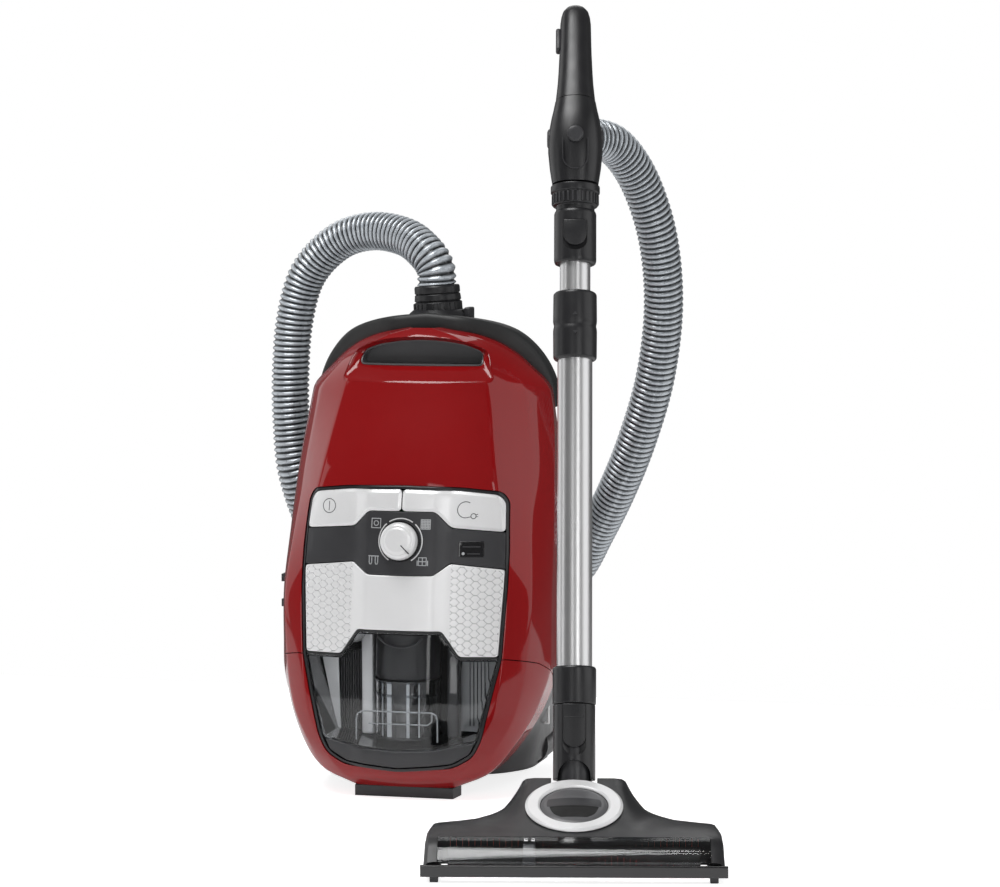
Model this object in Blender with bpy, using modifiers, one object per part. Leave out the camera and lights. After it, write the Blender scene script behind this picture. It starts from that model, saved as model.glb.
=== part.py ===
"""Canister vacuum cleaner with a telescopic wand, ribbed hose and turbine floor head.

Metres, +Z up.  The canister stands parked on its rear end, symmetric about X = 0, with its
control panel facing -Y.  The origin is on the floor under the parking foot and the rear plate.
The wand stands beside it on the floor head and leans back.
"""
import math

import bmesh
import bpy
import numpy as np
from mathutils import Matrix, Vector

GAP = 0.0003                 # clearance between pieces that touch
FIT = 0.0005                 # clearance round a panel piece

# Canister body, one row for each height.  The section runs from the centre of the front face
# over the face edge, the ridge and the widest point of the side to the rear rim.
# z, face_y, face_w, face_crown, ridge_w, ridge_y, side_w, side_y, rim_w, rim_y
BODY_STATIONS = (
    (0.012, -0.088, 0.040, 0.003, 0.050, -0.083, 0.056, -0.076, 0.057, -0.060),
    (0.026, -0.106, 0.062, 0.008, 0.077, -0.090, 0.088, -0.078, 0.090, -0.045),
    (0.048, -0.114, 0.078, 0.010, 0.096, -0.091, 0.109, -0.071, 0.111, -0.028),
    (0.095, -0.113, 0.100, 0.013, 0.120, -0.084, 0.135, -0.043, 0.136, 0.000),
    (0.140, -0.109, 0.107, 0.015, 0.129, -0.076, 0.146, -0.030, 0.146, 0.024),
    (0.206, -0.102, 0.110, 0.017, 0.133, -0.069, 0.146, -0.026, 0.145, 0.040),
    (0.278, -0.093, 0.105, 0.019, 0.128, -0.048, 0.144, -0.006, 0.142, 0.048),
    (0.331, -0.082, 0.096, 0.019, 0.122, -0.028, 0.141, 0.010, 0.138, 0.052),
    (0.420, -0.046, 0.079, 0.016, 0.112, 0.000, 0.131, 0.036, 0.129, 0.056),
    (0.446, -0.035, 0.071, 0.012, 0.095, 0.003, 0.109, 0.034, 0.108, 0.050),
    (0.468, -0.023, 0.056, 0.008, 0.072, 0.006, 0.083, 0.028, 0.082, 0.040),
    (0.481, -0.013, 0.034, 0.004, 0.045, 0.004, 0.053, 0.018, 0.053, 0.028),
    (0.488, -0.004, 0.010, 0.001, 0.013, 0.003, 0.016, 0.009, 0.016, 0.014),
)
SHELL_WALL = 0.003
FACE_BULGE = 0.0015          # outward bow of the faces beside the front face
SHELL_BOTTOM = 0.012
SHELL_TOP = 0.488

# Underbody: z, back half-width, back y
UNDERBODY_STATIONS = (
    (0.0125, 0.118, 0.128),
    (0.060, 0.125, 0.134),
    (0.140, 0.128, 0.136),
    (0.300, 0.126, 0.136),
    (0.420, 0.110, 0.132),
    (0.460, 0.082, 0.124),
    (0.487, 0.045, 0.110),
)

# Seam between the upper and lower shell in side view (y, z): level at the panel, then falling
SEAM = ((-0.200, 0.150), (-0.090, 0.150), (-0.055, 0.142), (0.010, 0.114), (0.200, 0.040))

# Panel: the middle stands proud of the face as a spine with a slanted facet on each side
SPINE_HEIGHT = 0.004
SPINE_FLAT = 0.036
SPINE_FOOT = 0.052
# Right halves of the outlines (x, z), listed from the top centre downwards
PANEL_OUTLINE = ((0.0, 0.3285), (0.060, 0.3270), (0.101, 0.3225), (0.1085, 0.312), (0.1115, 0.262),
                 (0.1115, 0.225), (0.1075, 0.150), (0.088, 0.066), (0.079, 0.048), (0.058, 0.036),
                 (0.0, 0.0310))
PANEL_BORDER = 0.0035
BUTTON_OUTLINE = ((0.0006, 0.3245), (0.060, 0.3230), (0.098, 0.3185), (0.1045, 0.3105),
                  (0.1062, 0.2810), (0.0520, 0.2855), (0.0360, 0.3020), (0.0006, 0.3022))
STRIP_OUTLINE = ((0.0, 0.3012), (0.0360, 0.3010), (0.0520, 0.2845), (0.1065, 0.2800),
                 (0.1078, 0.2430), (0.0520, 0.2490), (0.0350, 0.2362), (0.0, 0.2360))
BOWL_OUTLINE = ((0.0, 0.1760), (0.0440, 0.1760), (0.0625, 0.1495), (0.1030, 0.1495),
                (0.0936, 0.1100), (0.0818, 0.0640), (0.0400, 0.0560), (0.0, 0.0540))
SILL_OUTLINE = ((0.0, 0.0532), (0.0400, 0.0552), (0.0803, 0.0628), (0.0750, 0.0512), (0.0555, 0.0404),
                (0.0, 0.0355))
PANEL_SINK = 0.0012          # how far the panel lies below the red face
BOWL_DEPTH = 0.092
BOWL_WALL = 0.0025
COVER_SEAM = 0.0520          # x where a honeycomb plate meets the centre plate

DIAL_CENTER = Vector((0.0, -0.0995, 0.2715))
DIAL_TILT = math.radians(8.0)
INDICATOR_BOX = (0.0600, 0.0865, 0.2550, 0.2715)    # x low, x high, z low, z high

CARRY_HALF = 0.066           # half-width of the carry-handle slot
CARRY_Z = (0.432, 0.459)
BAND_OUTLINE = ((0.1325, 0.402), (0.1315, 0.425), (0.1215, 0.450), (0.107, 0.470), (0.088, 0.4865),
                (0.050, 0.4985), (0.0, 0.5030))
BAND_DEPTH = (0.0085, 0.030)  # at the top, where the hose connector is close, and at the sides

CONNECTOR_BASE = Vector((0.003, 0.062, 0.4885))
CONNECTOR_LEAN = math.radians(-4.0)
CUFF_TOP = 0.0420
HOSE_RADIUS = 0.0215

# Wand and floor head
HEAD_FRONT = Vector((0.2608, -0.4617, 0.0))
HEAD_YAW = math.radians(11.75)
WAND_PIVOT = Vector((0.0, 0.145, 0.050))            # in the head's frame
WAND_LEAN = math.radians(15.0)
LOWER_TUBE_RADIUS = 0.01725
UPPER_TUBE_RADIUS = 0.01515
TUBE_WALL = 0.0010
CLAMP_SPAN = (0.434, 0.502)
UPPER_TUBE_TOP = 0.531
HEAD_HALF = 0.1425
BRUSH_AXIS = (0.036, 0.0185)                        # y, z in the head's frame
TURBINE_AXIS = (0.088, 0.031)
BELT_X = -0.042
HUMP_TILT = math.radians(20.2)

# Hose route: hand-chosen points of its centre line, from the canister to the handle
HOSE_ROUTE = ((0.0000, 0.0620, 0.5308), (-0.0014, 0.0621, 0.5490), (-0.0135, 0.0680, 0.5650),
              (-0.0400, 0.0860, 0.5810), (-0.0830, 0.1080, 0.5870), (-0.1260, 0.1220, 0.5750),
              (-0.1630, 0.1300, 0.5400), (-0.1800, 0.1340, 0.4900), (-0.1860, 0.1360, 0.4300),
              (-0.1860, 0.1380, 0.3700), (-0.1810, 0.1440, 0.3120), (-0.1620, 0.1720, 0.2450),
              (-0.1180, 0.2120, 0.1850), (-0.0500, 0.2350, 0.1520), (0.0200, 0.2350, 0.1500),
              (0.0830, 0.2180, 0.1740), (0.1260, 0.1940, 0.2120), (0.1530, 0.1680, 0.2540),
              (0.1830, 0.1360, 0.3050), (0.2110, 0.1080, 0.3640), (0.2350, 0.0840, 0.4340),
              (0.2475, 0.0620, 0.5100), (0.2455, 0.0400, 0.5820), (0.2310, 0.0140, 0.6420),
              (0.2110, -0.0170, 0.6790), (0.1900, -0.0470, 0.6880), (0.1791, -0.0689, 0.6854),
              (0.1828, -0.0868, 0.6836))
HOSE_SPLIT_X = 0.020         # where the run that stays with the canister meets the handle's run
HOSE_SPACING = 0.052
HOSE_STUB = 0.018            # the hose leaves each cuff straight for this length
SPLIT_STUB = 0.003

COLOURS = {
    "red_lacquer": ((0.48, 0.016, 0.020), 0.22, 0.0),
    "black_plastic": ((0.018, 0.018, 0.020), 0.38, 0.0),
    "black_rubber": ((0.012, 0.012, 0.013), 0.60, 0.0),
    "dark_grey": ((0.045, 0.047, 0.050), 0.40, 0.0),
    "silver_plastic": ((0.72, 0.72, 0.73), 0.30, 0.6),
    "clear_plastic": ((0.85, 0.87, 0.88), 0.06, 0.0),
    "steel": ((0.70, 0.70, 0.71), 0.22, 1.0),
    "hose_grey": ((0.36, 0.38, 0.40), 0.35, 0.4),
    "filter_white": ((0.80, 0.80, 0.78), 0.80, 0.0),
    "board_green": ((0.02, 0.20, 0.08), 0.45, 0.0),
    "bristle_red": ((0.62, 0.05, 0.02), 0.60, 0.0),
}


# ------------------------------------------------------------------ helpers

def clear_scene():
    """Remove every object, so the script can run in any open file."""
    for item in list(bpy.data.objects):
        bpy.data.objects.remove(item, do_unlink=True)


def new_collection(name):
    group = bpy.data.collections.new(name)
    bpy.context.scene.collection.children.link(group)
    return group


def material_for(node, finish):
    """A Principled material of its own for one sub-part."""
    colour, roughness, metallic = COLOURS[finish]
    mat = bpy.data.materials.new(node + "_" + finish)
    mat.use_nodes = True
    shader = mat.node_tree.nodes["Principled BSDF"]
    shader.inputs["Base Color"].default_value = (*colour, 1.0)
    shader.inputs["Roughness"].default_value = roughness
    shader.inputs["Metallic"].default_value = metallic
    if finish == "clear_plastic":
        shader.inputs["Transmission Weight"].default_value = 0.9
    return mat


def place(name, mesh, finish, parent=None, location=(0, 0, 0), rotation=(0, 0, 0)):
    """Make a part object from a mesh, in the part collection."""
    item = bpy.data.objects.new(name, mesh)
    item.location = location
    item.rotation_euler = rotation
    item.parent = parent
    item.data.materials.clear()
    item.data.materials.append(material_for(name, finish))
    parts.objects.link(item)
    return item


def as_cutter(item):
    """Move an object to the cutters, where it only shapes others."""
    for group in list(item.users_collection):
        group.objects.unlink(item)
    cutters.objects.link(item)
    item.hide_render = True
    item.display_type = "WIRE"
    return item


def empty(name, parent=None, location=(0, 0, 0), rotation=(0, 0, 0)):
    item = bpy.data.objects.new(name, None)
    item.location = location
    item.rotation_euler = rotation
    item.parent = parent
    cutters.objects.link(item)
    return item


def finish_mesh(bm, name):
    """Close a bmesh job: outward normals, smooth shading with sharp creases."""
    bmesh.ops.recalc_face_normals(bm, faces=bm.faces)
    mesh = bpy.data.meshes.new(name)
    bm.to_mesh(mesh)
    bm.free()
    mesh.shade_smooth()
    mesh.set_sharp_from_angle(angle=math.radians(35))
    return mesh


def loft_mesh(name, rings, closed=True, cap_first=True, cap_last=True):
    """Skin through rings of equally many points."""
    bm = bmesh.new()
    rows = [[bm.verts.new(point) for point in ring] for ring in rings]
    count = len(rings[0])
    last = count if closed else count - 1
    for lower, upper in zip(rows, rows[1:]):
        for i in range(last):
            j = (i + 1) % count
            bm.faces.new((lower[i], lower[j], upper[j], upper[i]))
    if cap_first:
        bm.faces.new(reversed(rows[0]))
    if cap_last:
        bm.faces.new(rows[-1])
    return finish_mesh(bm, name)


def boolean(item, tool, operation="DIFFERENCE"):
    """Cut, join or intersect with a cutter, exact solver."""
    mod = item.modifiers.new(operation.title() + "_" + tool.name, "BOOLEAN")
    mod.operation = operation
    mod.object = tool
    mod.solver = "EXACT"
    return item


def solidify(item, thickness):
    """Give an open surface a wall on its inner side."""
    mod = item.modifiers.new("Wall", "SOLIDIFY")
    mod.thickness = thickness
    mod.offset = -1.0
    mod.use_even_offset = True
    mod.use_quality_normals = True
    return item


def bevel(item, width, segments=2):
    mod = item.modifiers.new("Edges", "BEVEL")
    mod.width = width
    mod.segments = segments
    mod.limit_method = "ANGLE"
    mod.angle_limit = math.radians(40)
    return item


def box(name, low, high, finish, parent=None, edge=0.0, origin=None):
    """A box between two corners, from a cube primitive, with rounded edges."""
    low = Vector(low)
    high = Vector(high)
    center = origin if origin is not None else (low + high) / 2
    bm = bmesh.new()
    bmesh.ops.create_cube(bm, size=1.0)
    bmesh.ops.scale(bm, vec=high - low, verts=bm.verts)
    bmesh.ops.translate(bm, vec=(low + high) / 2 - Vector(center), verts=bm.verts)
    item = place(name, finish_mesh(bm, name), finish, parent, center)
    if edge:
        bevel(item, edge)
    return item


def cylinder(name, radius, start, end, finish, parent=None, segments=24):
    """A plain cylinder between two points."""
    start = Vector(start)
    end = Vector(end)
    bm = bmesh.new()
    bmesh.ops.create_cone(bm, cap_ends=True, segments=segments, radius1=radius, radius2=radius,
                          depth=(end - start).length)
    turn = (end - start).to_track_quat("Z", "Y").to_euler()
    return place(name, finish_mesh(bm, name), finish, parent, (start + end) / 2, turn)


def turned(name, profile, finish, parent=None, location=(0, 0, 0), rotation=(0, 0, 0),
           segments=24, ring=False):
    """A turned piece: a profile of (radius, height), outer side from top to bottom, and Screw."""
    mesh = bpy.data.meshes.new(name)
    points = [(radius, 0.0, height) for radius, height in profile]
    edges = [(i, i + 1) for i in range(len(points) - 1)]
    if ring:
        edges.append((len(points) - 1, 0))
    mesh.from_pydata(points, edges, [])
    item = place(name, mesh, finish, parent, location, rotation)
    mod = item.modifiers.new("Turn", "SCREW")
    mod.axis = "Z"
    mod.angle = math.tau
    mod.steps = segments
    mod.render_steps = segments
    mod.use_merge_vertices = True
    mod.merge_threshold = 0.00001
    mod.use_smooth_shade = True
    return item


def rounded(points, radius, steps=3):
    """The outline with each corner drawn as a short arc."""
    result = []
    count = len(points)
    for i in range(count):
        corner = Vector(points[i])
        before = Vector(points[i - 1]) - corner
        after = Vector(points[(i + 1) % count]) - corner
        reach = min(radius, before.length * 0.45, after.length * 0.45)
        start = corner + before.normalized() * reach
        end = corner + after.normalized() * reach
        for k in range(steps + 1):
            t = k / steps
            result.append(start * (1 - t) ** 2 + corner * (2 * t * (1 - t)) + end * t ** 2)
    return [(point.x, point.y) for point in result]


def both_halves(half):
    """A closed outline from its right half, which runs from the top centre to the bottom centre."""
    left = [(-x, z) for x, z in reversed(half) if x > 0]
    return list(half) + left


def shrink(outline, amount):
    """Move a closed outline inwards by about the amount, corner by corner."""
    points = [Vector(point) for point in outline]
    area = sum(a.x * b.y - b.x * a.y for a, b in zip(points, points[1:] + points[:1]))
    side = 1.0 if area > 0 else -1.0
    result = []
    for i, point in enumerate(points):
        before = (point - points[i - 1]).normalized()
        after = (points[(i + 1) % len(points)] - point).normalized()
        normal = Vector((-(before.y + after.y), before.x + after.x)).normalized() * side
        spread = max(0.5, abs(normal.dot(Vector((-after.y, after.x)))))
        result.append(point + normal * amount / spread)
    return [(point.x, point.y) for point in result]


AXES = {
    "X": Matrix(((0, 0, 1), (1, 0, 0), (0, 1, 0))),     # outline (y, z)
    "Y": Matrix(((1, 0, 0), (0, 0, -1), (0, 1, 0))),    # outline (x, z)
    "Z": Matrix.Identity(3),                            # outline (x, y)
}


def prism_mesh(name, outline, low, high, axis, hole=None):
    """A flat outline as a filled 2D curve, extruded from low to high along an axis."""
    curve = bpy.data.curves.new(name, "CURVE")
    curve.dimensions = "2D"
    curve.fill_mode = "BOTH"
    curve.extrude = (high - low) / 2
    for loop in (outline, hole):
        if loop is None:
            continue
        spline = curve.splines.new("POLY")
        spline.points.add(len(loop) - 1)
        for point, (u, v) in zip(spline.points, loop):
            point.co = (u, v, 0.0, 1.0)
        spline.use_cyclic_u = True
    item = bpy.data.objects.new(name, curve)
    cutters.objects.link(item)
    mesh = bpy.data.meshes.new_from_object(item.evaluated_get(bpy.context.evaluated_depsgraph_get()))
    bpy.data.objects.remove(item)
    turn = AXES[axis].to_4x4()
    mesh.transform(turn @ Matrix.Translation((0, 0, (-1 if axis == "Y" else 1) * (low + high) / 2)))
    bm = bmesh.new()
    bm.from_mesh(mesh)
    bmesh.ops.remove_doubles(bm, verts=bm.verts, dist=0.000001)
    return finish_mesh(bm, name)


def prism(name, outline, low, high, axis, finish, parent=None, hole=None):
    return place(name, prism_mesh(name, outline, low, high, axis, hole), finish, parent)


def cut_prism(name, outline, low, high, axis, parent=None):
    return as_cutter(prism(name, outline, low, high, axis, "dark_grey", parent))


def move_origin(item, point):
    """Put an object's origin at a point of its parent's frame and keep its shape in place."""
    shift = Vector(point) - item.location
    item.data.transform(Matrix.Translation(-shift))
    item.location = point
    return item


def hermite(stations, column, z):
    """One column of a station table at height z, on a monotone smooth curve."""
    xs = [row[0] for row in stations]
    ys = [row[column] for row in stations]
    z = min(max(z, xs[0]), xs[-1])
    steps = np.diff(xs)
    slopes = np.diff(ys) / steps
    tangents = [slopes[0]]
    for i in range(1, len(slopes)):
        same = slopes[i - 1] * slopes[i] > 0
        tangents.append(2 * slopes[i - 1] * slopes[i] / (slopes[i - 1] + slopes[i]) if same else 0.0)
    tangents.append(slopes[-1])
    k = min(int(np.searchsorted(xs, z, side="right")) - 1, len(steps) - 1)
    t = (z - xs[k]) / steps[k]
    return float(ys[k] * (1 + 2 * t) * (1 - t) ** 2 + tangents[k] * steps[k] * t * (1 - t) ** 2
                 + ys[k + 1] * t * t * (3 - 2 * t) + tangents[k + 1] * steps[k] * t * t * (t - 1))


# ------------------------------------------------------------------ canister surfaces

def body_values(z):
    return [hermite(BODY_STATIONS, column, z) for column in range(1, 10)]


def bowed(start, end, bulge, steps):
    """Points after start up to end on a flat arc that bows outwards."""
    start = Vector(start)
    end = Vector(end)
    along = (end - start).normalized()
    outward = Vector((along.y, -along.x))
    points = []
    for k in range(1, steps + 1):
        t = k / steps
        points.append(start.lerp(end, t) + outward * bulge * 4 * t * (1 - t))
    return points


def half_section(z):
    """Right half of the canister's section (x, y), from the front centre to the rear rim."""
    face_y, face_w, crown, ridge_w, ridge_y, side_w, side_y, rim_w, rim_y = body_values(z)
    points = [Vector((face_w * t, face_y + crown * t * t)) for t in (0.0, 0.33, 0.66, 1.0)]
    points += bowed((face_w, face_y + crown), (ridge_w, ridge_y), FACE_BULGE, 2)
    points += bowed((ridge_w, ridge_y), (side_w, side_y), FACE_BULGE, 2)
    points += bowed((side_w, side_y), (rim_w, rim_y), 0.0, 1)
    return points


def shell_ring(z):
    half = half_section(z)
    left = [(-point.x, point.y, z) for point in reversed(half[1:])]
    return left + [(point.x, point.y, z) for point in half]


def face_y(x, z):
    """y of the red front face, or of the panel without its spine, at (x, z)."""
    y, width, crown, ridge_w, ridge_y = body_values(z)[:5]
    x = abs(x)
    if x <= width:
        return y + crown * (x / width) ** 2
    return y + crown + (ridge_y - y - crown) * (x - width) / (ridge_w - width)


def panel_y(x, z):
    """y of the panel's front surface with its raised spine."""
    rise = min(max((SPINE_FOOT - abs(x)) / (SPINE_FOOT - SPINE_FLAT), 0.0), 1.0)
    return face_y(x, z) + PANEL_SINK - SPINE_HEIGHT * rise


def panel_block(name, depth_near, depth_far, low_z, high_z, flat_back=None):
    """A cutter between two depths below the panel's front surface."""
    xs = [-0.114, -0.094, -0.074, -0.052, -0.036, -0.014, 0.014, 0.036, 0.052, 0.074, 0.094, 0.114]
    rows = max(2, round((high_z - low_z) / 0.024))
    rings = []
    for k in range(rows + 1):
        z = low_z + (high_z - low_z) * k / rows
        ring = [(x, panel_y(x, z) + depth_near, z) for x in xs]
        if flat_back is None:
            ring += [(x, panel_y(x, z) + depth_far, z) for x in reversed(xs)]
        else:
            ring += [(x, flat_back, z) for x in reversed(xs)]
        rings.append(ring)
    return place(name, loft_mesh(name, rings), "dark_grey")


def panel_piece(name, outline, near, far, finish, hole=None, flat_back=None):
    """A panel part: its outline cut out of the layer between two depths."""
    zs = [z for _, z in outline]
    item = panel_block(name, near, far, min(zs) - 0.004, max(zs) + 0.004, flat_back)
    item.data.materials.clear()
    item.data.materials.append(material_for(name, finish))
    tool = as_cutter(prism(name + "_outline", outline, -0.30, 0.10, "Y", "dark_grey", hole=hole))
    return boolean(item, tool, "INTERSECT")


# ------------------------------------------------------------------ canister

def shell_piece(name, low, high, levels, seam_side):
    """One red shell: skin, wall, panel opening and its side of the seam."""
    rings = [shell_ring(low + (high - low) * k / levels) for k in range(levels + 1)]
    top = high == SHELL_TOP
    item = place(name, loft_mesh(name, rings, closed=False, cap_first=False, cap_last=top),
                 "red_lacquer")
    solidify(item, SHELL_WALL)
    boolean(item, panel_opening)
    line = [(y, z + seam_side * GAP) for y, z in SEAM]
    far = 0.60 if seam_side > 0 else -0.10
    outline = line + [(line[-1][0], far), (line[0][0], far)]
    keep = cut_prism(name + "_seam", outline, -0.2, 0.2, "X")
    return boolean(item, keep, "INTERSECT")


def make_shells():
    upper = shell_piece("upper_shell", 0.080, SHELL_TOP, 15, 1)
    slot = rounded([(-CARRY_HALF, CARRY_Z[0]), (-CARRY_HALF + 0.006, CARRY_Z[1] - 0.003),
                    (0.0, CARRY_Z[1] + 0.007), (CARRY_HALF - 0.006, CARRY_Z[1] - 0.003),
                    (CARRY_HALF, CARRY_Z[0])], 0.008)
    boolean(upper, cut_prism("carry_slot", slot, -0.20, 0.02, "Y"))
    shell_piece("lower_shell", SHELL_BOTTOM, 0.165, 6, -1)
    liner_outline = shrink(slot, GAP)
    liner = prism("handle_liner", liner_outline, -0.0265, 0.020, "Y", "black_plastic")
    hollow = cut_prism("liner_hollow", shrink(slot, 0.003), -0.20, 0.016, "Y")
    boolean(liner, hollow)


def make_band():
    """Rubber band over the hose end: a thick arch that thins out down both sides."""
    right = list(BAND_OUTLINE)
    arch = right + [(-x, z) for x, z in reversed(right[:-1])]
    rings = []
    for x, z in arch:
        inner_x, inner_z = band_foot(x, z)
        y = max(hermite(BODY_STATIONS, 9, min(inner_z, SHELL_TOP)), 0.014) + 0.0006
        back = y + BAND_DEPTH[0] + (BAND_DEPTH[1] - BAND_DEPTH[0]) * min(1.0, abs(x) / 0.075)
        rings.append([(x * 0.985, y, z - 0.001), (x, y + 0.004, z), (x, back - 0.004, z),
                      (x * 0.985, back, z - 0.001), (inner_x, back, inner_z), (inner_x, y, inner_z)])
    place("bumper_band", loft_mesh("bumper_band", rings), "black_rubber")


def band_foot(x, z):
    """The point of the body's outline that lies under a point of the band."""
    side = 1.0 if x >= 0 else -1.0
    if abs(x) < 0.001:
        return 0.0, SHELL_TOP + 0.0030
    best = min((abs((hermite(BODY_STATIONS, 8, h) + 0.0022) * (z - 0.18) - abs(x) * (h - 0.18)), h)
               for h in np.linspace(0.39, SHELL_TOP, 99))
    return side * (hermite(BODY_STATIONS, 8, best[1]) + 0.0022), best[1] + 0.0030


def underbody_ring(z):
    back_w = hermite(UNDERBODY_STATIONS, 1, z)
    back_y = hermite(UNDERBODY_STATIONS, 2, z)
    rim_w = hermite(BODY_STATIONS, 8, z)
    rim_y = hermite(BODY_STATIONS, 9, z)
    wide = max(back_w, min(rim_w, back_w + 0.010))
    half = [(rim_w - 0.0004, rim_y + 0.0024), (wide, min(rim_y + 0.034, back_y - 0.040)),
            (back_w, back_y - 0.030), (back_w - 0.010, back_y - 0.008), (back_w - 0.030, back_y),
            (0.0, back_y)]
    left = [(-x, y, z) for x, y in reversed(half[:-1])]
    return [(x, y, z) for x, y in half] + left


def make_underbody():
    """Black lower half with the castor pods at its rear corners."""
    heights = [0.0128, 0.030, 0.060, 0.100, 0.140, 0.170, 0.206, 0.250, 0.300, 0.380, 0.420, 0.446]
    heights += [0.468, 0.480, 0.487]
    rings = [underbody_ring(z) for z in heights]
    item = place("underbody", loft_mesh("underbody", rings, closed=False, cap_first=False),
                 "black_plastic")
    solidify(item, SHELL_WALL)
    for side, label in ((-1, "left"), (1, "right")):
        pod = cylinder("pod_" + label, 0.0225, (side * 0.1030, 0.050, 0.0365),
                       (side * 0.1030, 0.1420, 0.0365), "black_plastic")
        boolean(item, as_cutter(pod), "UNION")
    boolean(item, as_cutter(cylinder("connector_hole", 0.0262, (0.003, 0.062, 0.40), (0.003, 0.062, 0.60),
                                     "dark_grey")))
    plate = [(0.050, -0.0585), (0.092, -0.030), (0.112, 0.000), (0.118, 0.030), (0.118, 0.098),
             (0.108, 0.121), (0.088, 0.128)]
    outline = plate + [(-x, y) for x, y in reversed(plate)]
    rear = prism("rear_plate", outline, 0.0, 0.0122, "Z", "dark_grey")
    for index in range(7):
        x = -0.060 + 0.020 * index
        slot = box("vent_%d" % index, (x - 0.0025, 0.030, -0.01), (x + 0.0025, 0.105, 0.03), "dark_grey")
        boolean(rear, as_cutter(slot))
    foot = [(0.056, -0.0592), (0.053, -0.084), (-0.053, -0.084), (-0.056, -0.0592)]
    prism("parking_foot", foot, 0.0, 0.0112, "Z", "black_rubber")


def make_panel():
    full = both_halves(PANEL_OUTLINE)
    inner = shrink(full, PANEL_BORDER)
    panel_piece("panel_frame", rounded(shrink(full, GAP), 0.008, 2), 0.0, 0.010, "black_plastic",
                hole=rounded(inner, 0.007, 2))
    strip = panel_piece("control_strip", rounded(both_halves(STRIP_OUTLINE), 0.002, 2), 0.0008, 0.005,
                        "dark_grey")
    low_x, high_x, low_z, high_z = INDICATOR_BOX
    window = rounded([(low_x, low_z), (high_x, low_z), (high_x, high_z), (low_x, high_z)], 0.002, 2)
    boolean(strip, cut_prism("indicator_cut", shrink(window, -GAP), -0.2, 0.0, "Y"))
    panel_piece("indicator_window", window, 0.0008, 0.004, "black_plastic")
    shaft = cylinder("dial_shaft_hole", 0.0044, DIAL_CENTER + dial_normal() * 0.03,
                     DIAL_CENTER - dial_normal() * 0.03, "dark_grey")
    boolean(strip, as_cutter(shaft))
    panel_piece("panel_sill", both_halves(SILL_OUTLINE), 0.0010, 0.010, "dark_grey")
    left = [(-x, z) for x, z in BUTTON_OUTLINE]
    for name, outline in (("power_button", left), ("cord_rewind_button", list(BUTTON_OUTLINE))):
        button = panel_piece(name, rounded(outline, 0.004), -0.0010, 0.0045, "silver_plastic")
        center_x = sum(x for x, _ in outline) / len(outline)
        move_origin(button, (center_x, -0.078, 0.305))


def dial_normal():
    return Vector((0.0, -math.cos(DIAL_TILT), math.sin(DIAL_TILT)))


def make_dial():
    """Rotary power selector with a raised cap, a pointer groove and a short shaft."""
    profile = [(0.0, 0.0125), (0.0120, 0.0120), (0.0145, 0.0108), (0.0160, 0.0112), (0.0185, 0.0090),
               (0.0197, 0.0045), (0.0197, 0.0010), (0.0040, 0.0010), (0.0040, -0.0080), (0.0, -0.0080)]
    turn = dial_normal().to_track_quat("Z", "Y").to_euler()
    turned("selector_dial", profile, "silver_plastic", location=DIAL_CENTER, rotation=turn, segments=32)


def make_container():
    """The pull-out dust container: clear bowl, silver cover plates and the cyclone inside."""
    bowl_outline = both_halves(BOWL_OUTLINE)
    bowl = panel_piece("dust_bowl", bowl_outline, 0.0010, 0.0, "clear_plastic",
                       flat_back=BOWL_DEPTH - 0.110)
    inner = [(x, z if z < 0.14 else z + 0.02) for x, z in shrink(bowl_outline, BOWL_WALL)]
    hollow = panel_block("bowl_hollow", 0.0010 + BOWL_WALL, 0.0, 0.045, 0.205,
                         flat_back=BOWL_DEPTH - 0.110 - BOWL_WALL)
    tool = cut_prism("bowl_hollow_outline", inner, -0.30, 0.10, "Y")
    boolean(hollow, tool, "INTERSECT")
    boolean(bowl, as_cutter(hollow))
    right_seal = [(0.0, 0.1787), (0.0448, 0.1787), (0.0633, 0.1522), (0.1030, 0.1522), (0.1026, 0.1499),
                  (0.0627, 0.1499), (0.0442, 0.1764), (0.0, 0.1764)]
    seal_outline = right_seal + [(-x, z) for x, z in reversed(right_seal[4:7])]
    seal_outline += [(-x, z) for x, z in reversed(right_seal[1:4])]
    panel_piece("cover_seal", seal_outline, 0.0006, 0.0060, "black_rubber")
    plate = [(COVER_SEAM + FIT, 0.2479), (0.1074, 0.2420), (0.1068, 0.2250), (0.1030, 0.1527),
             (0.0636, 0.1527), (COVER_SEAM + FIT, 0.1694)]
    mirrored = [(-x, z) for x, z in plate]
    panel_piece("cover_plate_right", rounded(plate, 0.003), 0.0004, 0.0050, "silver_plastic")
    panel_piece("cover_plate_left", rounded(mirrored, 0.003), 0.0004, 0.0050, "silver_plastic")
    center = [(0.0, 0.2354), (0.0350, 0.2355), (COVER_SEAM, 0.2481), (COVER_SEAM, 0.1696),
              (0.0452, 0.1791), (0.0, 0.1791)]
    panel_piece("cover_plate_center", both_halves(center), 0.0002, 0.0050, "silver_plastic")
    core = [(0.0, 0.1735), (0.0335, 0.1735), (0.0345, 0.1700), (0.0345, 0.1290), (0.0320, 0.1270),
            (0.0, 0.1270)]
    turned("cyclone_core", core, "black_plastic", location=(0, -0.062, 0))
    screen = [(0.0340, 0.1264), (0.0340, 0.0620), (0.0320, 0.0620), (0.0320, 0.1264)]
    turned("inner_screen", screen, "clear_plastic", location=(0, -0.062, 0), ring=True)


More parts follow.
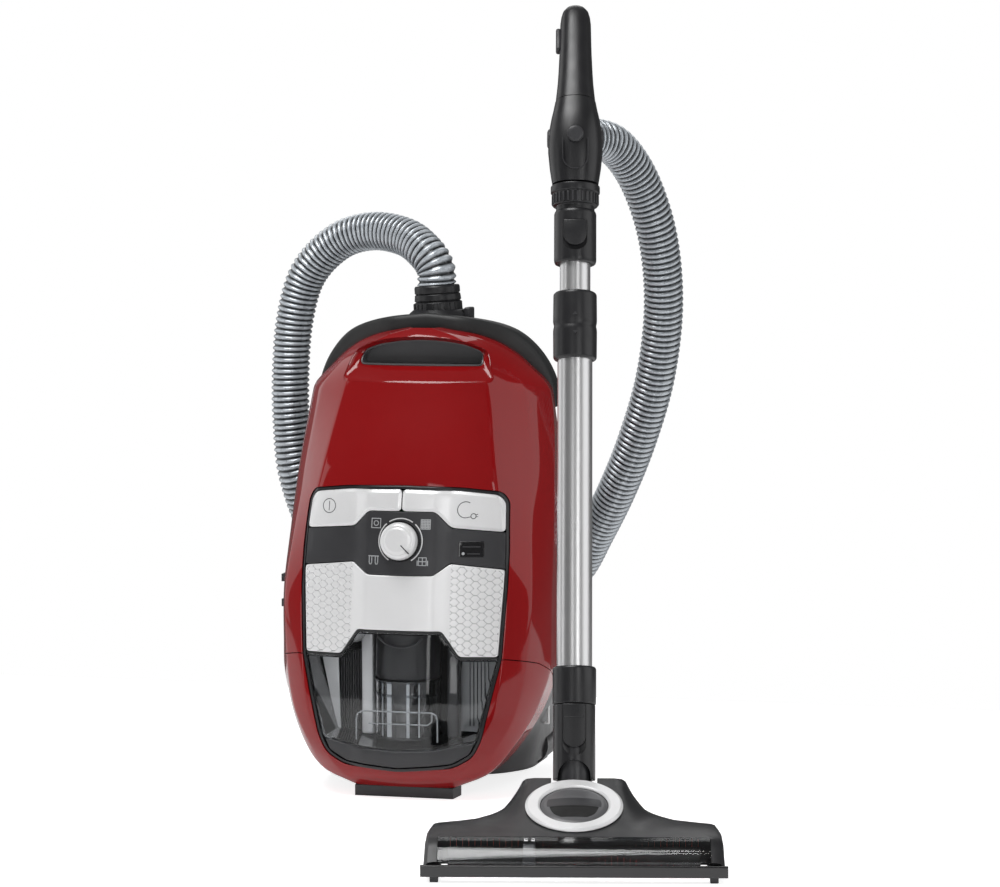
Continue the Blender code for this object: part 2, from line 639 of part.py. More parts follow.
def make_internals():
    """Filter, motor, fan, cable reel and board inside the canister."""
    box("fine_dust_filter", (-0.060, -0.012, 0.165), (0.060, 0.012, 0.238), "filter_white", edge=0.003)
    housing = [(0.050, 0.370), (0.052, 0.366), (0.052, 0.274), (0.050, 0.270), (0.010, 0.270),
               (0.010, 0.273), (0.048, 0.273), (0.048, 0.370)]
    turned("motor_housing", housing, "dark_grey", location=(0, 0.055, 0), ring=True)
    fan = [(0.004, 0.364), (0.0085, 0.358), (0.043, 0.352), (0.044, 0.344), (0.010, 0.340),
           (0.010, 0.300), (0.036, 0.298), (0.036, 0.280), (0.004, 0.279)]
    turned("fan_impeller", [(0.0, 0.364)] + fan + [(0.0, 0.279)], "steel", location=(0, 0.055, 0))
    reel = [(0.066, 0.017), (0.066, 0.014), (0.032, 0.013), (0.032, -0.013), (0.066, -0.014),
            (0.066, -0.017), (0.008, -0.017), (0.008, 0.017)]
    turned("cable_reel", reel, "dark_grey", location=(0, 0.060, 0.120),
           rotation=(math.radians(90), 0, 0), segments=32, ring=True)
    box("circuit_board", (-0.080, -0.0560, 0.258), (0.080, -0.0544, 0.318), "board_green")


def make_castor(label, x, z):
    """A castor on the underside: a domed fork that swivels, and its wheel hanging below the axis."""
    base_y = 0.1425 if z < 0.1 else 0.1368
    hub = empty("castor_" + label, location=(x, base_y, z), rotation=(math.radians(-90), 0, 0))
    profile = [(0.0, 0.019), (0.012, 0.0175), (0.0185, 0.012), (0.0205, 0.004), (0.0205, 0.0),
               (0.0, 0.0)]
    fork = turned("castor_fork_" + label, profile, "black_plastic", hub, segments=20)
    slot = box("castor_slot_" + label, (-0.0062, -0.010, 0.0030), (0.0062, 0.0225, 0.030), "dark_grey",
               hub)
    boolean(fork, as_cutter(slot))
    wheel = [(0.0, 0.0055), (0.0100, 0.0055), (0.0120, 0.0040), (0.0120, -0.0040), (0.0100, -0.0055),
             (0.0, -0.0055)]
    turned("castor_wheel_" + label, wheel, "dark_grey", hub, location=(0, 0.0055, 0.0165),
           rotation=(0, math.radians(90), 0), segments=20)


def make_park_clip():
    """Two prongs on the left side that hold the head when the machine is carried."""
    base = [(-0.012, 0.185), (0.010, 0.185), (0.010, 0.225), (-0.012, 0.225)]
    clip = prism("wand_park_clip", rounded(base, 0.003), -0.1490, -0.1464, "X", "red_lacquer")
    for index, low in enumerate((0.187, 0.214)):
        prong = box("park_prong_%d" % index, (-0.1550, -0.008, low), (-0.1480, 0.006, low + 0.008),
                    "dark_grey")
        boolean(clip, as_cutter(prong), "UNION")


def make_connector():
    """Hose connector that plugs into the top: a flange, a leaning ringed cuff and a release tab."""
    flange = [(0.0, 0.0180), (0.0262, 0.0170), (0.0330, 0.0110), (0.0345, 0.0050), (0.0345, 0.0025),
              (0.0240, 0.0025), (0.0240, -0.0200), (0.0, -0.0200)]
    item = turned("hose_connector", flange, "black_plastic", location=CONNECTOR_BASE)
    base = empty("connector_frame", location=CONNECTOR_BASE, rotation=(0, CONNECTOR_LEAN, 0))
    cuff = [(0.0, CUFF_TOP), (0.0235, CUFF_TOP), (0.0245, 0.0400), (0.0245, 0.0340), (0.0228, 0.0332),
            (0.0245, 0.0324), (0.0252, 0.0260), (0.0234, 0.0250), (0.0256, 0.0240), (0.0262, 0.0120),
            (0.0, 0.0120)]
    boolean(item, as_cutter(turned("connector_cuff", cuff, "black_plastic", base)), "UNION")
    boolean(item, as_cutter(box("release_seat", (0.0266, -0.0100, 0.0050), (0.045, 0.0100, 0.030),
                                "dark_grey")))
    cutters.objects["release_seat"].location += CONNECTOR_BASE
    tab = box("connector_release", (0.0290, -0.0096, 0.0055), (0.0366, 0.0096, 0.0190), "black_plastic",
              edge=0.0015)
    tab.location += CONNECTOR_BASE


# ------------------------------------------------------------------ hose

def smooth_route(route):
    """A finely sampled smooth curve through the route's points, and the length at each sample."""
    points = [Vector(point) for point in route]
    padded = [2 * points[0] - points[1]] + points + [2 * points[-1] - points[-2]]
    fine = []
    for a, b, c, d in zip(padded, padded[1:], padded[2:], padded[3:]):
        for k in range(16):
            t = k / 16
            fine.append(0.5 * (2 * b + (c - a) * t + (2 * a - 5 * b + 4 * c - d) * t * t
                               + (3 * b - a - 3 * c + d) * t ** 3))
    fine.append(points[-1])
    lengths = np.concatenate(([0.0], np.cumsum([(q - p).length for p, q in zip(fine, fine[1:])])))
    return fine, lengths


def stretch_points(fine, lengths, start, end, first_stub, last_stub):
    """Evenly spaced points from one length to another, with one more close to each end."""
    count = max(2, round((end - start) / HOSE_SPACING))
    at = [start + (end - start) * k / count for k in range(count + 1)]
    at.insert(1, start + first_stub)
    at.insert(-1, end - last_stub)
    result = []
    for length in at:
        i = min(int(np.searchsorted(lengths, length, side="right")) - 1, len(fine) - 2)
        result.append(fine[i].lerp(fine[i + 1], (length - lengths[i]) / (lengths[i + 1] - lengths[i])))
    return result


def hose_run(name, points):
    curve = bpy.data.curves.new(name, "CURVE")
    curve.dimensions = "3D"
    curve.bevel_depth = HOSE_RADIUS
    curve.bevel_resolution = 3
    curve.use_fill_caps = True
    spline = curve.splines.new("POLY")
    spline.points.add(len(points) - 1)
    for point, position in zip(spline.points, points):
        point.co = (*position, 1.0)
    curve.materials.append(material_for(name, "hose_grey"))
    item = bpy.data.objects.new(name, curve)
    parts.objects.link(item)
    return item


def make_hose():
    """The hose as two runs that meet behind the canister."""
    fine, lengths = smooth_route(HOSE_ROUTE)
    split = next(lengths[i] for i, point in enumerate(fine) if point.x > HOSE_SPLIT_X and point.z < 0.3)
    lower = stretch_points(fine, lengths, 0.0, split - 2 * GAP, HOSE_STUB, SPLIT_STUB)
    hose_run("hose_lower_run", lower)
    upper = stretch_points(fine, lengths, split + 2 * GAP, lengths[-1], SPLIT_STUB, HOSE_STUB)
    hose_run("hose_upper_run", upper)


# ------------------------------------------------------------------ wand

def make_wand(wand):
    socket = [(0.0205, 0.0930), (0.0205, 0.0200), (0.0178, 0.0200), (0.0178, 0.0930)]
    fork = turned("head_socket", socket, "black_plastic", wand, ring=True)
    arch = rounded([(-0.0150, 0.000), (-0.0150, 0.030), (0.0, 0.044), (0.0150, 0.030),
                    (0.0150, 0.000)], 0.010)
    boolean(fork, cut_prism("socket_arch", arch, -0.05, 0.05, "Y", wand))
    boolean(fork, as_cutter(box("button_seat", (-0.0115, -0.03, 0.0445), (0.0115, -0.0170, 0.0945),
                                "dark_grey", wand)))
    box("head_release_button", (-0.0110, -0.0221, 0.0500), (0.0110, -0.0196, 0.0925), "dark_grey", wand,
        edge=0.0009)
    collar = [(0.0200, 0.1300), (0.0212, 0.1280), (0.0212, 0.0934), (0.0178, 0.0934), (0.0178, 0.1300)]
    turned("bottom_collar", collar, "black_plastic", wand, ring=True)
    lower = [(LOWER_TUBE_RADIUS, 0.498), (LOWER_TUBE_RADIUS, 0.0965),
             (LOWER_TUBE_RADIUS - TUBE_WALL, 0.0965), (LOWER_TUBE_RADIUS - TUBE_WALL, 0.498)]
    turned("lower_tube", lower, "steel", wand, ring=True)
    upper = [(UPPER_TUBE_RADIUS, UPPER_TUBE_TOP + 0.040), (UPPER_TUBE_RADIUS, 0.150),
             (UPPER_TUBE_RADIUS - TUBE_WALL, 0.150), (UPPER_TUBE_RADIUS - TUBE_WALL, UPPER_TUBE_TOP + 0.040)]
    turned("upper_tube", upper, "steel", wand, ring=True)
    low, high = CLAMP_SPAN
    sleeve = [(0.0195, high), (0.0215, high - 0.002), (0.02175, high - 0.030), (0.0208, high - 0.034),
              (0.02175, high - 0.038), (0.0215, low + 0.002), (0.0200, low), (0.0178, low), (0.0178, high)]
    turned("telescope_sleeve", sleeve, "black_plastic", wand, ring=True)
    top = [(0.0195, 0.585), (0.0210, 0.582), (0.0210, 0.534), (0.0200, 0.531), (0.0155, 0.531),
           (0.0155, 0.585)]
    collar = turned("top_collar", top, "black_plastic", wand, ring=True)
    boolean(collar, as_cutter(box("tab_seat", (-0.0120, -0.03, 0.5455), (0.0120, -0.0180, 0.5725),
                                  "dark_grey", wand)))
    box("wand_release_tab", (-0.0116, -0.0224, 0.5460), (0.0116, -0.0197, 0.5720), "dark_grey", wand,
        edge=0.0009)


def oval_ring(center_y, z, half_x, half_y, tilt, count=20):
    """An oval section of the handle, tilted about X through its centre."""
    ring = []
    for k in range(count):
        angle = math.tau * k / count
        x = half_x * math.cos(angle)
        y = half_y * math.sin(angle)
        ring.append((x, center_y + y * math.cos(tilt), z + y * math.sin(tilt)))
    return ring


# Handle: y of the centre, z along the wand, half-width, half-depth, backward tilt in radians
HUB_SECTIONS = (
    (0.000, 0.612, 0.0230, 0.0230, 0.00),
    (0.000, 0.628, 0.0255, 0.0250, 0.00),
    (0.001, 0.645, 0.0272, 0.0270, -0.03),
    (0.002, 0.662, 0.0268, 0.0270, -0.06),
    (0.003, 0.680, 0.0240, 0.0240, -0.12),
    (0.006, 0.697, 0.0205, 0.0200, -0.20),
)
GRIP_SECTIONS = (
    (0.0062, 0.6976, 0.0200, 0.0195, -0.22),
    (0.012, 0.718, 0.0180, 0.0178, -0.32),
    (0.021, 0.742, 0.0168, 0.0172, -0.40),
    (0.031, 0.766, 0.0160, 0.0168, -0.42),
    (0.041, 0.789, 0.0156, 0.0165, -0.42),
    (0.046, 0.801, 0.0135, 0.0145, -0.42),
    (0.048, 0.807, 0.0080, 0.0090, -0.42),
)


def make_handle(wand):
    """Handle on top of the wand: ribbed ring, hub with its buttons, and the grip."""
    hub = place("handle_hub", loft_mesh("handle_hub", [oval_ring(*row) for row in HUB_SECTIONS]),
                "black_plastic", wand)
    ring = [(0.0, 0.6160), (0.0245, 0.6100), (0.0245, 0.6030), (0.0225, 0.6020), (0.0225, 0.5900),
            (0.0, 0.5900)]
    boolean(hub, as_cutter(turned("hub_ring", ring, "black_plastic", wand)), "UNION")
    place("handle_grip", loft_mesh("handle_grip", [oval_ring(*row) for row in GRIP_SECTIONS]),
          "black_plastic", wand)
    boolean(hub, as_cutter(cylinder("grip_button_seat", 0.0088, (0, -0.060, 0.658), (0, -0.0190, 0.658),
                                    "dark_grey", wand)))
    cylinder("grip_button", 0.0082, (0, -0.0288, 0.658), (0, -0.0222, 0.658), "dark_grey", wand, 20)
    slider = box("suction_slider", (-0.0205, 0.0270, 0.7560), (-0.0178, 0.0370, 0.7840), "dark_grey", wand,
                 edge=0.001)
    slider.rotation_euler = (math.radians(-24), 0, 0)
    cuff = empty("cuff_frame", wand, (0.0, 0.0286, 0.6600), (math.radians(-70), 0, 0))
    boss = cylinder("cuff_boss", 0.0200, (0, 0, -0.0150), (0, 0, 0.0075), "dark_grey", cuff)
    boolean(hub, as_cutter(boss), "UNION")
    profile = [(0.0, 0.0390), (0.0225, 0.0390), (0.0240, 0.0350), (0.0240, 0.0110), (0.0222, 0.0079),
               (0.0, 0.0079)]
    turned("hose_cuff", profile, "black_plastic", cuff)


# ------------------------------------------------------------------ floor head

# y, hump z, hump half-width, foot x, foot z, wing x, wing z, side x, side z
HEAD_SECTIONS = (
    (0.0046, 0.0205, 0.0477, 0.0600, 0.0205, 0.1350, 0.0200, 0.1400, 0.0105),
    (0.0280, 0.0385, 0.0477, 0.0600, 0.0385, 0.1350, 0.0380, 0.1395, 0.0105),
    (0.0500, 0.0461, 0.0477, 0.0660, 0.0435, 0.1340, 0.0425, 0.1388, 0.0105),
    (0.0740, 0.0549, 0.0477, 0.0740, 0.0460, 0.1315, 0.0430, 0.1365, 0.0105),
    (0.0860, 0.0593, 0.0477, 0.0730, 0.0480, 0.1000, 0.0430, 0.1060, 0.0105),
    (0.1030, 0.0656, 0.0477, 0.0660, 0.0520, 0.0720, 0.0460, 0.0770, 0.0105),
    (0.1300, 0.0755, 0.0477, 0.0560, 0.0600, 0.0590, 0.0500, 0.0610, 0.0105),
    (0.1500, 0.0700, 0.0460, 0.0530, 0.0580, 0.0550, 0.0480, 0.0560, 0.0105),
    (0.1660, 0.0480, 0.0420, 0.0480, 0.0420, 0.0500, 0.0360, 0.0510, 0.0105),
)
HEAD_WALL = 0.0022


def head_ring(row):
    y, hump_z, hump_x, foot_x, foot_z, wing_x, wing_z, side_x, side_z = row
    half = [(0.0, hump_z), (hump_x, hump_z), (foot_x, foot_z), (wing_x, wing_z),
            (side_x, wing_z - 0.006), (side_x, side_z)]
    left = [(-x, y, z) for x, z in reversed(half[1:])]
    return left + [(x, y, z) for x, z in half]


def make_head(head):
    rings = [head_ring(row) for row in HEAD_SECTIONS]
    shell = place("head_shell", loft_mesh("head_shell", rings, closed=False, cap_first=False,
                                          cap_last=False), "black_plastic", head)
    solidify(shell, HEAD_WALL)
    boolean(shell, as_cutter(box("window_cut", (-0.1272, -0.01, 0.0), (0.1272, 0.0290, 0.06), "dark_grey",
                                 head)))
    boolean(shell, as_cutter(box("neck_cut", (-0.0222, 0.1180, 0.0), (0.0222, 0.20, 0.10), "dark_grey",
                                 head)))
    boolean(shell, as_cutter(box("barrel_cut", (-0.0290, 0.1296, 0.0), (0.0290, 0.21, 0.0676), "dark_grey",
                                 head)))
    window = [(0.0046, 0.0200), (0.0285, 0.0384), (0.0285, 0.0360), (0.0046, 0.0176)]
    prism("head_window", window, -0.1267, 0.1267, "X", "clear_plastic", head)
    strip = [(0.0, 0.0070), (0.0, 0.0165), (0.0012, 0.0172), (0.0042, 0.0172), (0.0042, 0.0060),
             (0.0010, 0.0060)]
    prism("front_strip", strip, -HEAD_HALF, HEAD_HALF, "X", "black_plastic", head)
    plan = [(0.1400, 0.0046), (0.1385, 0.0740), (0.0780, 0.1030), (0.0520, 0.1660)]
    outline = plan + [(-x, y) for x, y in reversed(plan)]
    sole = prism("head_sole", outline, 0.0060, 0.0100, "Z", "dark_grey", head)
    boolean(sole, as_cutter(box("mouth", (-0.1250, 0.0150, 0.0), (0.1250, 0.0660, 0.02), "dark_grey",
                                head)))
    feet = ((-0.1300, 0.0100), (0.1300, 0.0100), (-0.0400, 0.1500), (0.0400, 0.1500))
    for index, (x, y) in enumerate(feet):
        pad = box("head_foot_%d" % index, (x - 0.004, y - 0.004, 0.0), (x + 0.004, y + 0.004, 0.0080),
                  "dark_grey", head)
        boolean(sole, as_cutter(pad), "UNION")
    ring = [(0.0440, 0.0030), (0.0465, 0.0012), (0.0465, 0.0), (0.0325, 0.0), (0.0325, 0.0016),
            (0.0345, 0.0030)]
    tilt = (HUMP_TILT, 0, 0)
    seat = (0.0, 0.0796, 0.0577)
    turned("silver_ring", ring, "silver_plastic", head, seat, tilt, 40, ring=True)
    dome = [(0.0, 0.0042), (0.0160, 0.0036), (0.0280, 0.0020), (0.0320, 0.0006), (0.0320, 0.0),
            (0.0, 0.0)]
    turned("turbine_dome", dome, "dark_grey", head, seat, tilt, 32)


def brush_ring(x, twist, lobe):
    """Section of the brush: a round core with two rows of bristles."""
    ring = []
    for k in range(16):
        angle = math.tau * k / 16
        radius = 0.0085
        if lobe and k % 8 == 0:
            radius = 0.0165
        ring.append((x, radius * math.cos(angle + twist), radius * math.sin(angle + twist)))
    return ring


def make_brush(head):
    stations = [(-0.118, 1), (-0.098, 1), (-0.078, 1), (-0.058, 1), (-0.0482, 1), (-0.048, 0),
                (-0.036, 0), (-0.0358, 1), (-0.016, 1), (0.006, 1), (0.028, 1), (0.050, 1), (0.072, 1),
                (0.094, 1), (0.118, 1)]
    rings = [brush_ring(x, x * 26.0, lobe) for x, lobe in stations]
    place("brush_roller", loft_mesh("brush_roller", rings), "bristle_red", head, (0, *BRUSH_AXIS))
    profile = [(0.0, 0.0180), (0.0180, 0.0180), (0.0180, -0.0180), (0.0030, -0.0180), (0.0030, -0.0375),
               (0.0060, -0.0375), (0.0060, -0.0465), (0.0, -0.0465)]
    turned("turbine_wheel", profile, "dark_grey", head, (0, *TURBINE_AXIS),
           (0, math.radians(90), 0), 20)
    loop = []
    start = Vector(BRUSH_AXIS)
    end = Vector(TURBINE_AXIS)
    lean = math.atan2(end.y - start.y, end.x - start.x)
    for center, radius, first in ((start, 0.0106, lean + math.pi / 2), (end, 0.0081, lean - math.pi / 2)):
        for k in range(9):
            angle = first + math.pi * k / 8
            loop.append(center + radius * Vector((math.cos(angle), math.sin(angle))))
    curve = bpy.data.curves.new("drive_belt", "CURVE")
    curve.dimensions = "3D"
    curve.bevel_depth = 0.0015
    curve.bevel_resolution = 1
    spline = curve.splines.new("POLY")
    spline.points.add(len(loop) - 1)
    for point, (y, z) in zip(spline.points, loop):
        point.co = (BELT_X, y, z, 1.0)
    spline.use_cyclic_u = True
    curve.materials.append(material_for("drive_belt", "black_rubber"))
    belt = bpy.data.objects.new("drive_belt", curve)
    belt.parent = head
    parts.objects.link(belt)


def make_neck(wand):
    """Swivelling neck: a tube in the wand's socket and a barrel on the head's tilt axis."""
    tube = [(0.0, 0.0800), (0.0170, 0.0800), (0.0170, 0.0), (0.0, 0.0)]
    neck = turned("neck", tube, "dark_grey", wand)
    barrel = cylinder("neck_barrel", 0.0140, (-0.0280, 0, 0), (0.0280, 0, 0), "dark_grey", wand)
    boolean(neck, as_cutter(barrel), "UNION")


clear_scene()
parts = new_collection("canister_vacuum_cleaner")
cutters = new_collection("cutters")
panel_opening = cut_prism("panel_opening", rounded(both_halves(PANEL_OUTLINE), 0.008, 2), -0.30, -0.02, "Y")
make_shells()
make_band()
make_underbody()
make_panel()
make_dial()
make_container()
make_internals()
make_castor("front", 0.0, 0.395)
make_castor("left", -0.1030, 0.0365)
make_castor("right", 0.1030, 0.0365)
make_park_clip()
make_connector()
make_hose()
head_frame = empty("head_frame", location=HEAD_FRONT, rotation=(0, 0, HEAD_YAW))
wand_frame = empty("wand_frame", head_frame, WAND_PIVOT, (-WAND_LEAN, 0, 0))
make_wand(wand_frame)
make_handle(wand_frame)
make_head(head_frame)
make_brush(head_frame)
make_neck(wand_frame)
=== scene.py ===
"""Looks of the canister vacuum cleaner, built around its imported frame.

Metres, in the frame's axes: +Z up, the control panel faces -Y and +X is the right of the machine as
seen from its panel.  Each visible part is a fine surface on the same driving shape as the frame's
solid, and rides on the same body.
"""

import math

import bmesh
import bpy
import numpy as np
from mathutils import Matrix, Vector
from mathutils.geometry import delaunay_2d_cdt


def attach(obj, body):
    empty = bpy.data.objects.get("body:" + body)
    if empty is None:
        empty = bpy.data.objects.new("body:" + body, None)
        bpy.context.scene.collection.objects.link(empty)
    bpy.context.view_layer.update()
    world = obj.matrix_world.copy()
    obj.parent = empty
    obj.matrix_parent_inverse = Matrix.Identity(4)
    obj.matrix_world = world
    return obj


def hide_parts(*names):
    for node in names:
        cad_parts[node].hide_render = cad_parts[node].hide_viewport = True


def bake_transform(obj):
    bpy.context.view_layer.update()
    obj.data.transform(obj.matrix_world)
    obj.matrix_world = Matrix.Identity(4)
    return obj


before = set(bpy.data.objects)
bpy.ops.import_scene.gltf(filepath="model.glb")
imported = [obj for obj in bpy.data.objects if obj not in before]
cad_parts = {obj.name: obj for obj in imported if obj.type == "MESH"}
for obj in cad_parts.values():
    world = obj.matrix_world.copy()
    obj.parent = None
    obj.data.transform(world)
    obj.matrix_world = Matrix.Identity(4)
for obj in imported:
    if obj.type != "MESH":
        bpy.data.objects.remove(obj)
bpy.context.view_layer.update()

# ---------------------------------------------------------------- driving shape

# z, face_y, face_w, face_crown, ridge_w, ridge_y, side_w, side_y, rim_w, rim_y
BODY_STATIONS = np.array((
    (0.012, -0.088, 0.040, 0.003, 0.050, -0.083, 0.056, -0.076, 0.057, -0.060),
    (0.026, -0.106, 0.062, 0.008, 0.077, -0.090, 0.088, -0.078, 0.090, -0.045),
    (0.048, -0.114, 0.078, 0.010, 0.096, -0.091, 0.109, -0.071, 0.111, -0.028),
    (0.095, -0.113, 0.100, 0.013, 0.120, -0.084, 0.135, -0.043, 0.136, 0.000),
    (0.140, -0.109, 0.107, 0.015, 0.129, -0.076, 0.146, -0.030, 0.146, 0.024),
    (0.206, -0.102, 0.110, 0.017, 0.133, -0.069, 0.146, -0.026, 0.145, 0.040),
    (0.278, -0.093, 0.105, 0.019, 0.128, -0.048, 0.144, -0.006, 0.142, 0.048),
    (0.331, -0.082, 0.096, 0.019, 0.122, -0.028, 0.141, 0.010, 0.138, 0.052),
    (0.420, -0.046, 0.079, 0.016, 0.112, 0.000, 0.131, 0.036, 0.129, 0.056),
    (0.446, -0.035, 0.071, 0.012, 0.095, 0.003, 0.109, 0.034, 0.108, 0.050),
    (0.468, -0.023, 0.056, 0.008, 0.072, 0.006, 0.083, 0.028, 0.082, 0.040),
    (0.481, -0.013, 0.034, 0.004, 0.045, 0.004, 0.053, 0.018, 0.053, 0.028),
    (0.488, -0.004, 0.010, 0.001, 0.013, 0.003, 0.016, 0.009, 0.016, 0.014),
))
SHELL_WALL = 0.003
CHAMFER_BULGE = 0.0006
FACE_BULGE = 0.0015
SHELL_BOTTOM = 0.012
SHELL_TOP = 0.488
UNDERBODY_STATIONS = np.array((
    (0.0125, 0.118, 0.128),
    (0.060, 0.125, 0.134),
    (0.140, 0.128, 0.136),
    (0.300, 0.126, 0.136),
    (0.420, 0.110, 0.132),
    (0.460, 0.082, 0.124),
    (0.487, 0.045, 0.110),
))
SEAM = ((-0.200, 0.150), (-0.090, 0.150), (-0.055, 0.142), (0.010, 0.114), (0.200, 0.040))
SEAM_HALF_GAP = 0.0005

SPINE_HEIGHT = 0.004
SPINE_FLAT = 0.036
SPINE_FOOT = 0.052
PANEL_SINK = 0.0012
# Right halves of the panel's outlines (x, z), from the top centre downwards
PANEL_OUTLINE = ((0.0, 0.3285), (0.060, 0.3270), (0.101, 0.3225), (0.1085, 0.312), (0.1115, 0.262),
                 (0.1115, 0.225), (0.1075, 0.150), (0.088, 0.066), (0.079, 0.048), (0.058, 0.036),
                 (0.0, 0.0310))
BUTTON_OUTLINE = ((0.0006, 0.3245), (0.060, 0.3230), (0.098, 0.3185), (0.1045, 0.3105),
                  (0.1062, 0.2810), (0.0520, 0.2855), (0.0360, 0.3020), (0.0006, 0.3022))
STRIP_OUTLINE = ((0.0, 0.3012), (0.0360, 0.3010), (0.0520, 0.2845), (0.1065, 0.2800),
                 (0.1078, 0.2430), (0.0520, 0.2490), (0.0350, 0.2362), (0.0, 0.2360))
BOWL_OUTLINE = ((0.0, 0.1760), (0.0440, 0.1760), (0.0625, 0.1495), (0.1030, 0.1495),
                (0.0936, 0.1100), (0.0818, 0.0640), (0.0400, 0.0560), (0.0, 0.0540))
SILL_OUTLINE = ((0.0, 0.0532), (0.0400, 0.0552), (0.0803, 0.0628), (0.0750, 0.0512),
                (0.0555, 0.0404), (0.0, 0.0355))
INDICATOR_BOX = (0.0600, 0.0865, 0.2550, 0.2715)
BOWL_BACK_Y = -0.0180
DIAL_CENTER = Vector((0.0, -0.0995, 0.2715))
DIAL_TILT = math.radians(8.0)

BAND_OUTLINE = ((0.1325, 0.402), (0.1315, 0.425), (0.1215, 0.450), (0.107, 0.470), (0.088, 0.4865),
                (0.050, 0.4985), (0.0, 0.5030))
BAND_DEPTH = (0.0085, 0.030)
BAND_GAP = 0.0030
BAND_CENTER_Z = 0.18         # height that the band's spokes point to
CASTOR_X = 0.103
CASTOR_Z = 0.0365
CONNECTOR_BASE = Vector((0.003, 0.062, 0.4885))
CONNECTOR_LEAN = math.radians(-4.0)

# Hose route: points of its centre line, from the canister to the handle
HOSE_ROUTE = np.array((
    (0.0000, 0.0620, 0.5308), (-0.0014, 0.0621, 0.5490), (-0.0135, 0.0680, 0.5650),
    (-0.0400, 0.0860, 0.5810), (-0.0830, 0.1080, 0.5870), (-0.1260, 0.1220, 0.5750),
    (-0.1630, 0.1300, 0.5400), (-0.1800, 0.1340, 0.4900), (-0.1860, 0.1360, 0.4300),
    (-0.1860, 0.1380, 0.3700), (-0.1810, 0.1440, 0.3120), (-0.1620, 0.1720, 0.2450),
    (-0.1180, 0.2120, 0.1850), (-0.0500, 0.2350, 0.1520), (0.0200, 0.2350, 0.1500),
    (0.0830, 0.2180, 0.1740), (0.1260, 0.1940, 0.2120), (0.1530, 0.1680, 0.2540),
    (0.1830, 0.1360, 0.3050), (0.2110, 0.1080, 0.3640), (0.2350, 0.0840, 0.4340),
    (0.2475, 0.0620, 0.5100), (0.2455, 0.0400, 0.5820), (0.2310, 0.0140, 0.6420),
    (0.2110, -0.0170, 0.6790), (0.1900, -0.0470, 0.6880), (0.1791, -0.0689, 0.6854),
    (0.1828, -0.0868, 0.6836)))
HOSE_RADIUS = 0.0211
HOSE_PITCH = 0.0062
HOSE_GROOVE = 0.0026
HOSE_SAMPLES = 9             # rings to each turn of the rib
HOSE_SIDES = 30

HEAD_FRONT = Vector((0.2608, -0.4617, 0.0))
HEAD_YAW = math.radians(11.75)
WAND_PIVOT = Vector((0.0, 0.145, 0.050))
WAND_LEAN = math.radians(15.0)
HEAD_FRAME = Matrix.Translation(HEAD_FRONT) @ Matrix.Rotation(HEAD_YAW, 4, "Z")
WAND_FRAME = HEAD_FRAME @ Matrix.Translation(WAND_PIVOT) @ Matrix.Rotation(-WAND_LEAN, 4, "X")
HEAD_HALF = 0.1425
BRUSH_AXIS = (0.036, 0.0185)
HUMP_TILT = math.radians(20.2)
RING_SEAT = Vector((0.0, 0.0796, 0.0577))


# ---------------------------------------------------------------- mesh helpers

def smooth_mesh(mesh, angle=32):
    mesh.shade_smooth()
    mesh.set_sharp_from_angle(angle=math.radians(angle))
    return mesh


def linked(name, data):
    item = bpy.data.objects.new(name, data)
    bpy.context.scene.collection.objects.link(item)
    return item


def cleaned(mesh, weld=None):
    """Weld a mesh's near vertices, if asked, and turn its faces outwards."""
    bm = bmesh.new()
    bm.from_mesh(mesh)
    if weld is not None:
        bmesh.ops.remove_doubles(bm, verts=bm.verts, dist=weld)
    bmesh.ops.recalc_face_normals(bm, faces=bm.faces)
    bm.to_mesh(mesh)
    bm.free()


def make_object(name, verts, faces, angle=32, at=None):
    """An object from vertices and faces, optionally moved by a matrix into the frame."""
    mesh = bpy.data.meshes.new(name)
    mesh.from_pydata([tuple(v) for v in verts], [], [tuple(f) for f in faces])
    if at is not None:
        mesh.transform(at)
    cleaned(mesh)
    return linked(name, smooth_mesh(mesh, angle))


def loft(name, rings, closed=True, caps=True, angle=32, at=None):
    """Skin through rings of equally many points."""
    rings = [np.asarray(ring, float) for ring in rings]
    count = len(rings[0])
    verts = np.concatenate(rings)
    last = count if closed else count - 1
    faces = []
    for k in range(len(rings) - 1):
        for i in range(last):
            j = (i + 1) % count
            faces.append((k * count + i, k * count + j, (k + 1) * count + j, (k + 1) * count + i))
    if caps:
        faces.append(tuple(reversed(range(count))))
        start = (len(rings) - 1) * count
        faces.append(tuple(range(start, start + count)))
    return make_object(name, verts, faces, angle, at)


def apply_all(item, angle=32):
    """Bake an object's modifiers into its mesh."""
    graph = bpy.context.evaluated_depsgraph_get()
    mesh = bpy.data.meshes.new_from_object(item.evaluated_get(graph))
    item.modifiers.clear()
    item.data = smooth_mesh(mesh, angle)
    return item


def boolean(item, tool, operation="DIFFERENCE"):
    mod = item.modifiers.new(operation.title(), "BOOLEAN")
    mod.operation = operation
    mod.object = tool
    mod.solver = "EXACT"


def cut(item, *tools, keep=(), angle=32):
    """Cut the tools out of an object, keep only what lies in the others, and drop the tools."""
    for tool in tools:
        boolean(item, tool)
    for tool in keep:
        boolean(item, tool, "INTERSECT")
    apply_all(item, angle)
    for tool in (*tools, *keep):
        bpy.data.objects.remove(tool)
    return item


def solidify(item, thickness):
    mod = item.modifiers.new("Wall", "SOLIDIFY")
    mod.thickness = thickness
    mod.offset = -1.0
    mod.use_even_offset = True
    mod.use_quality_normals = True
    return item


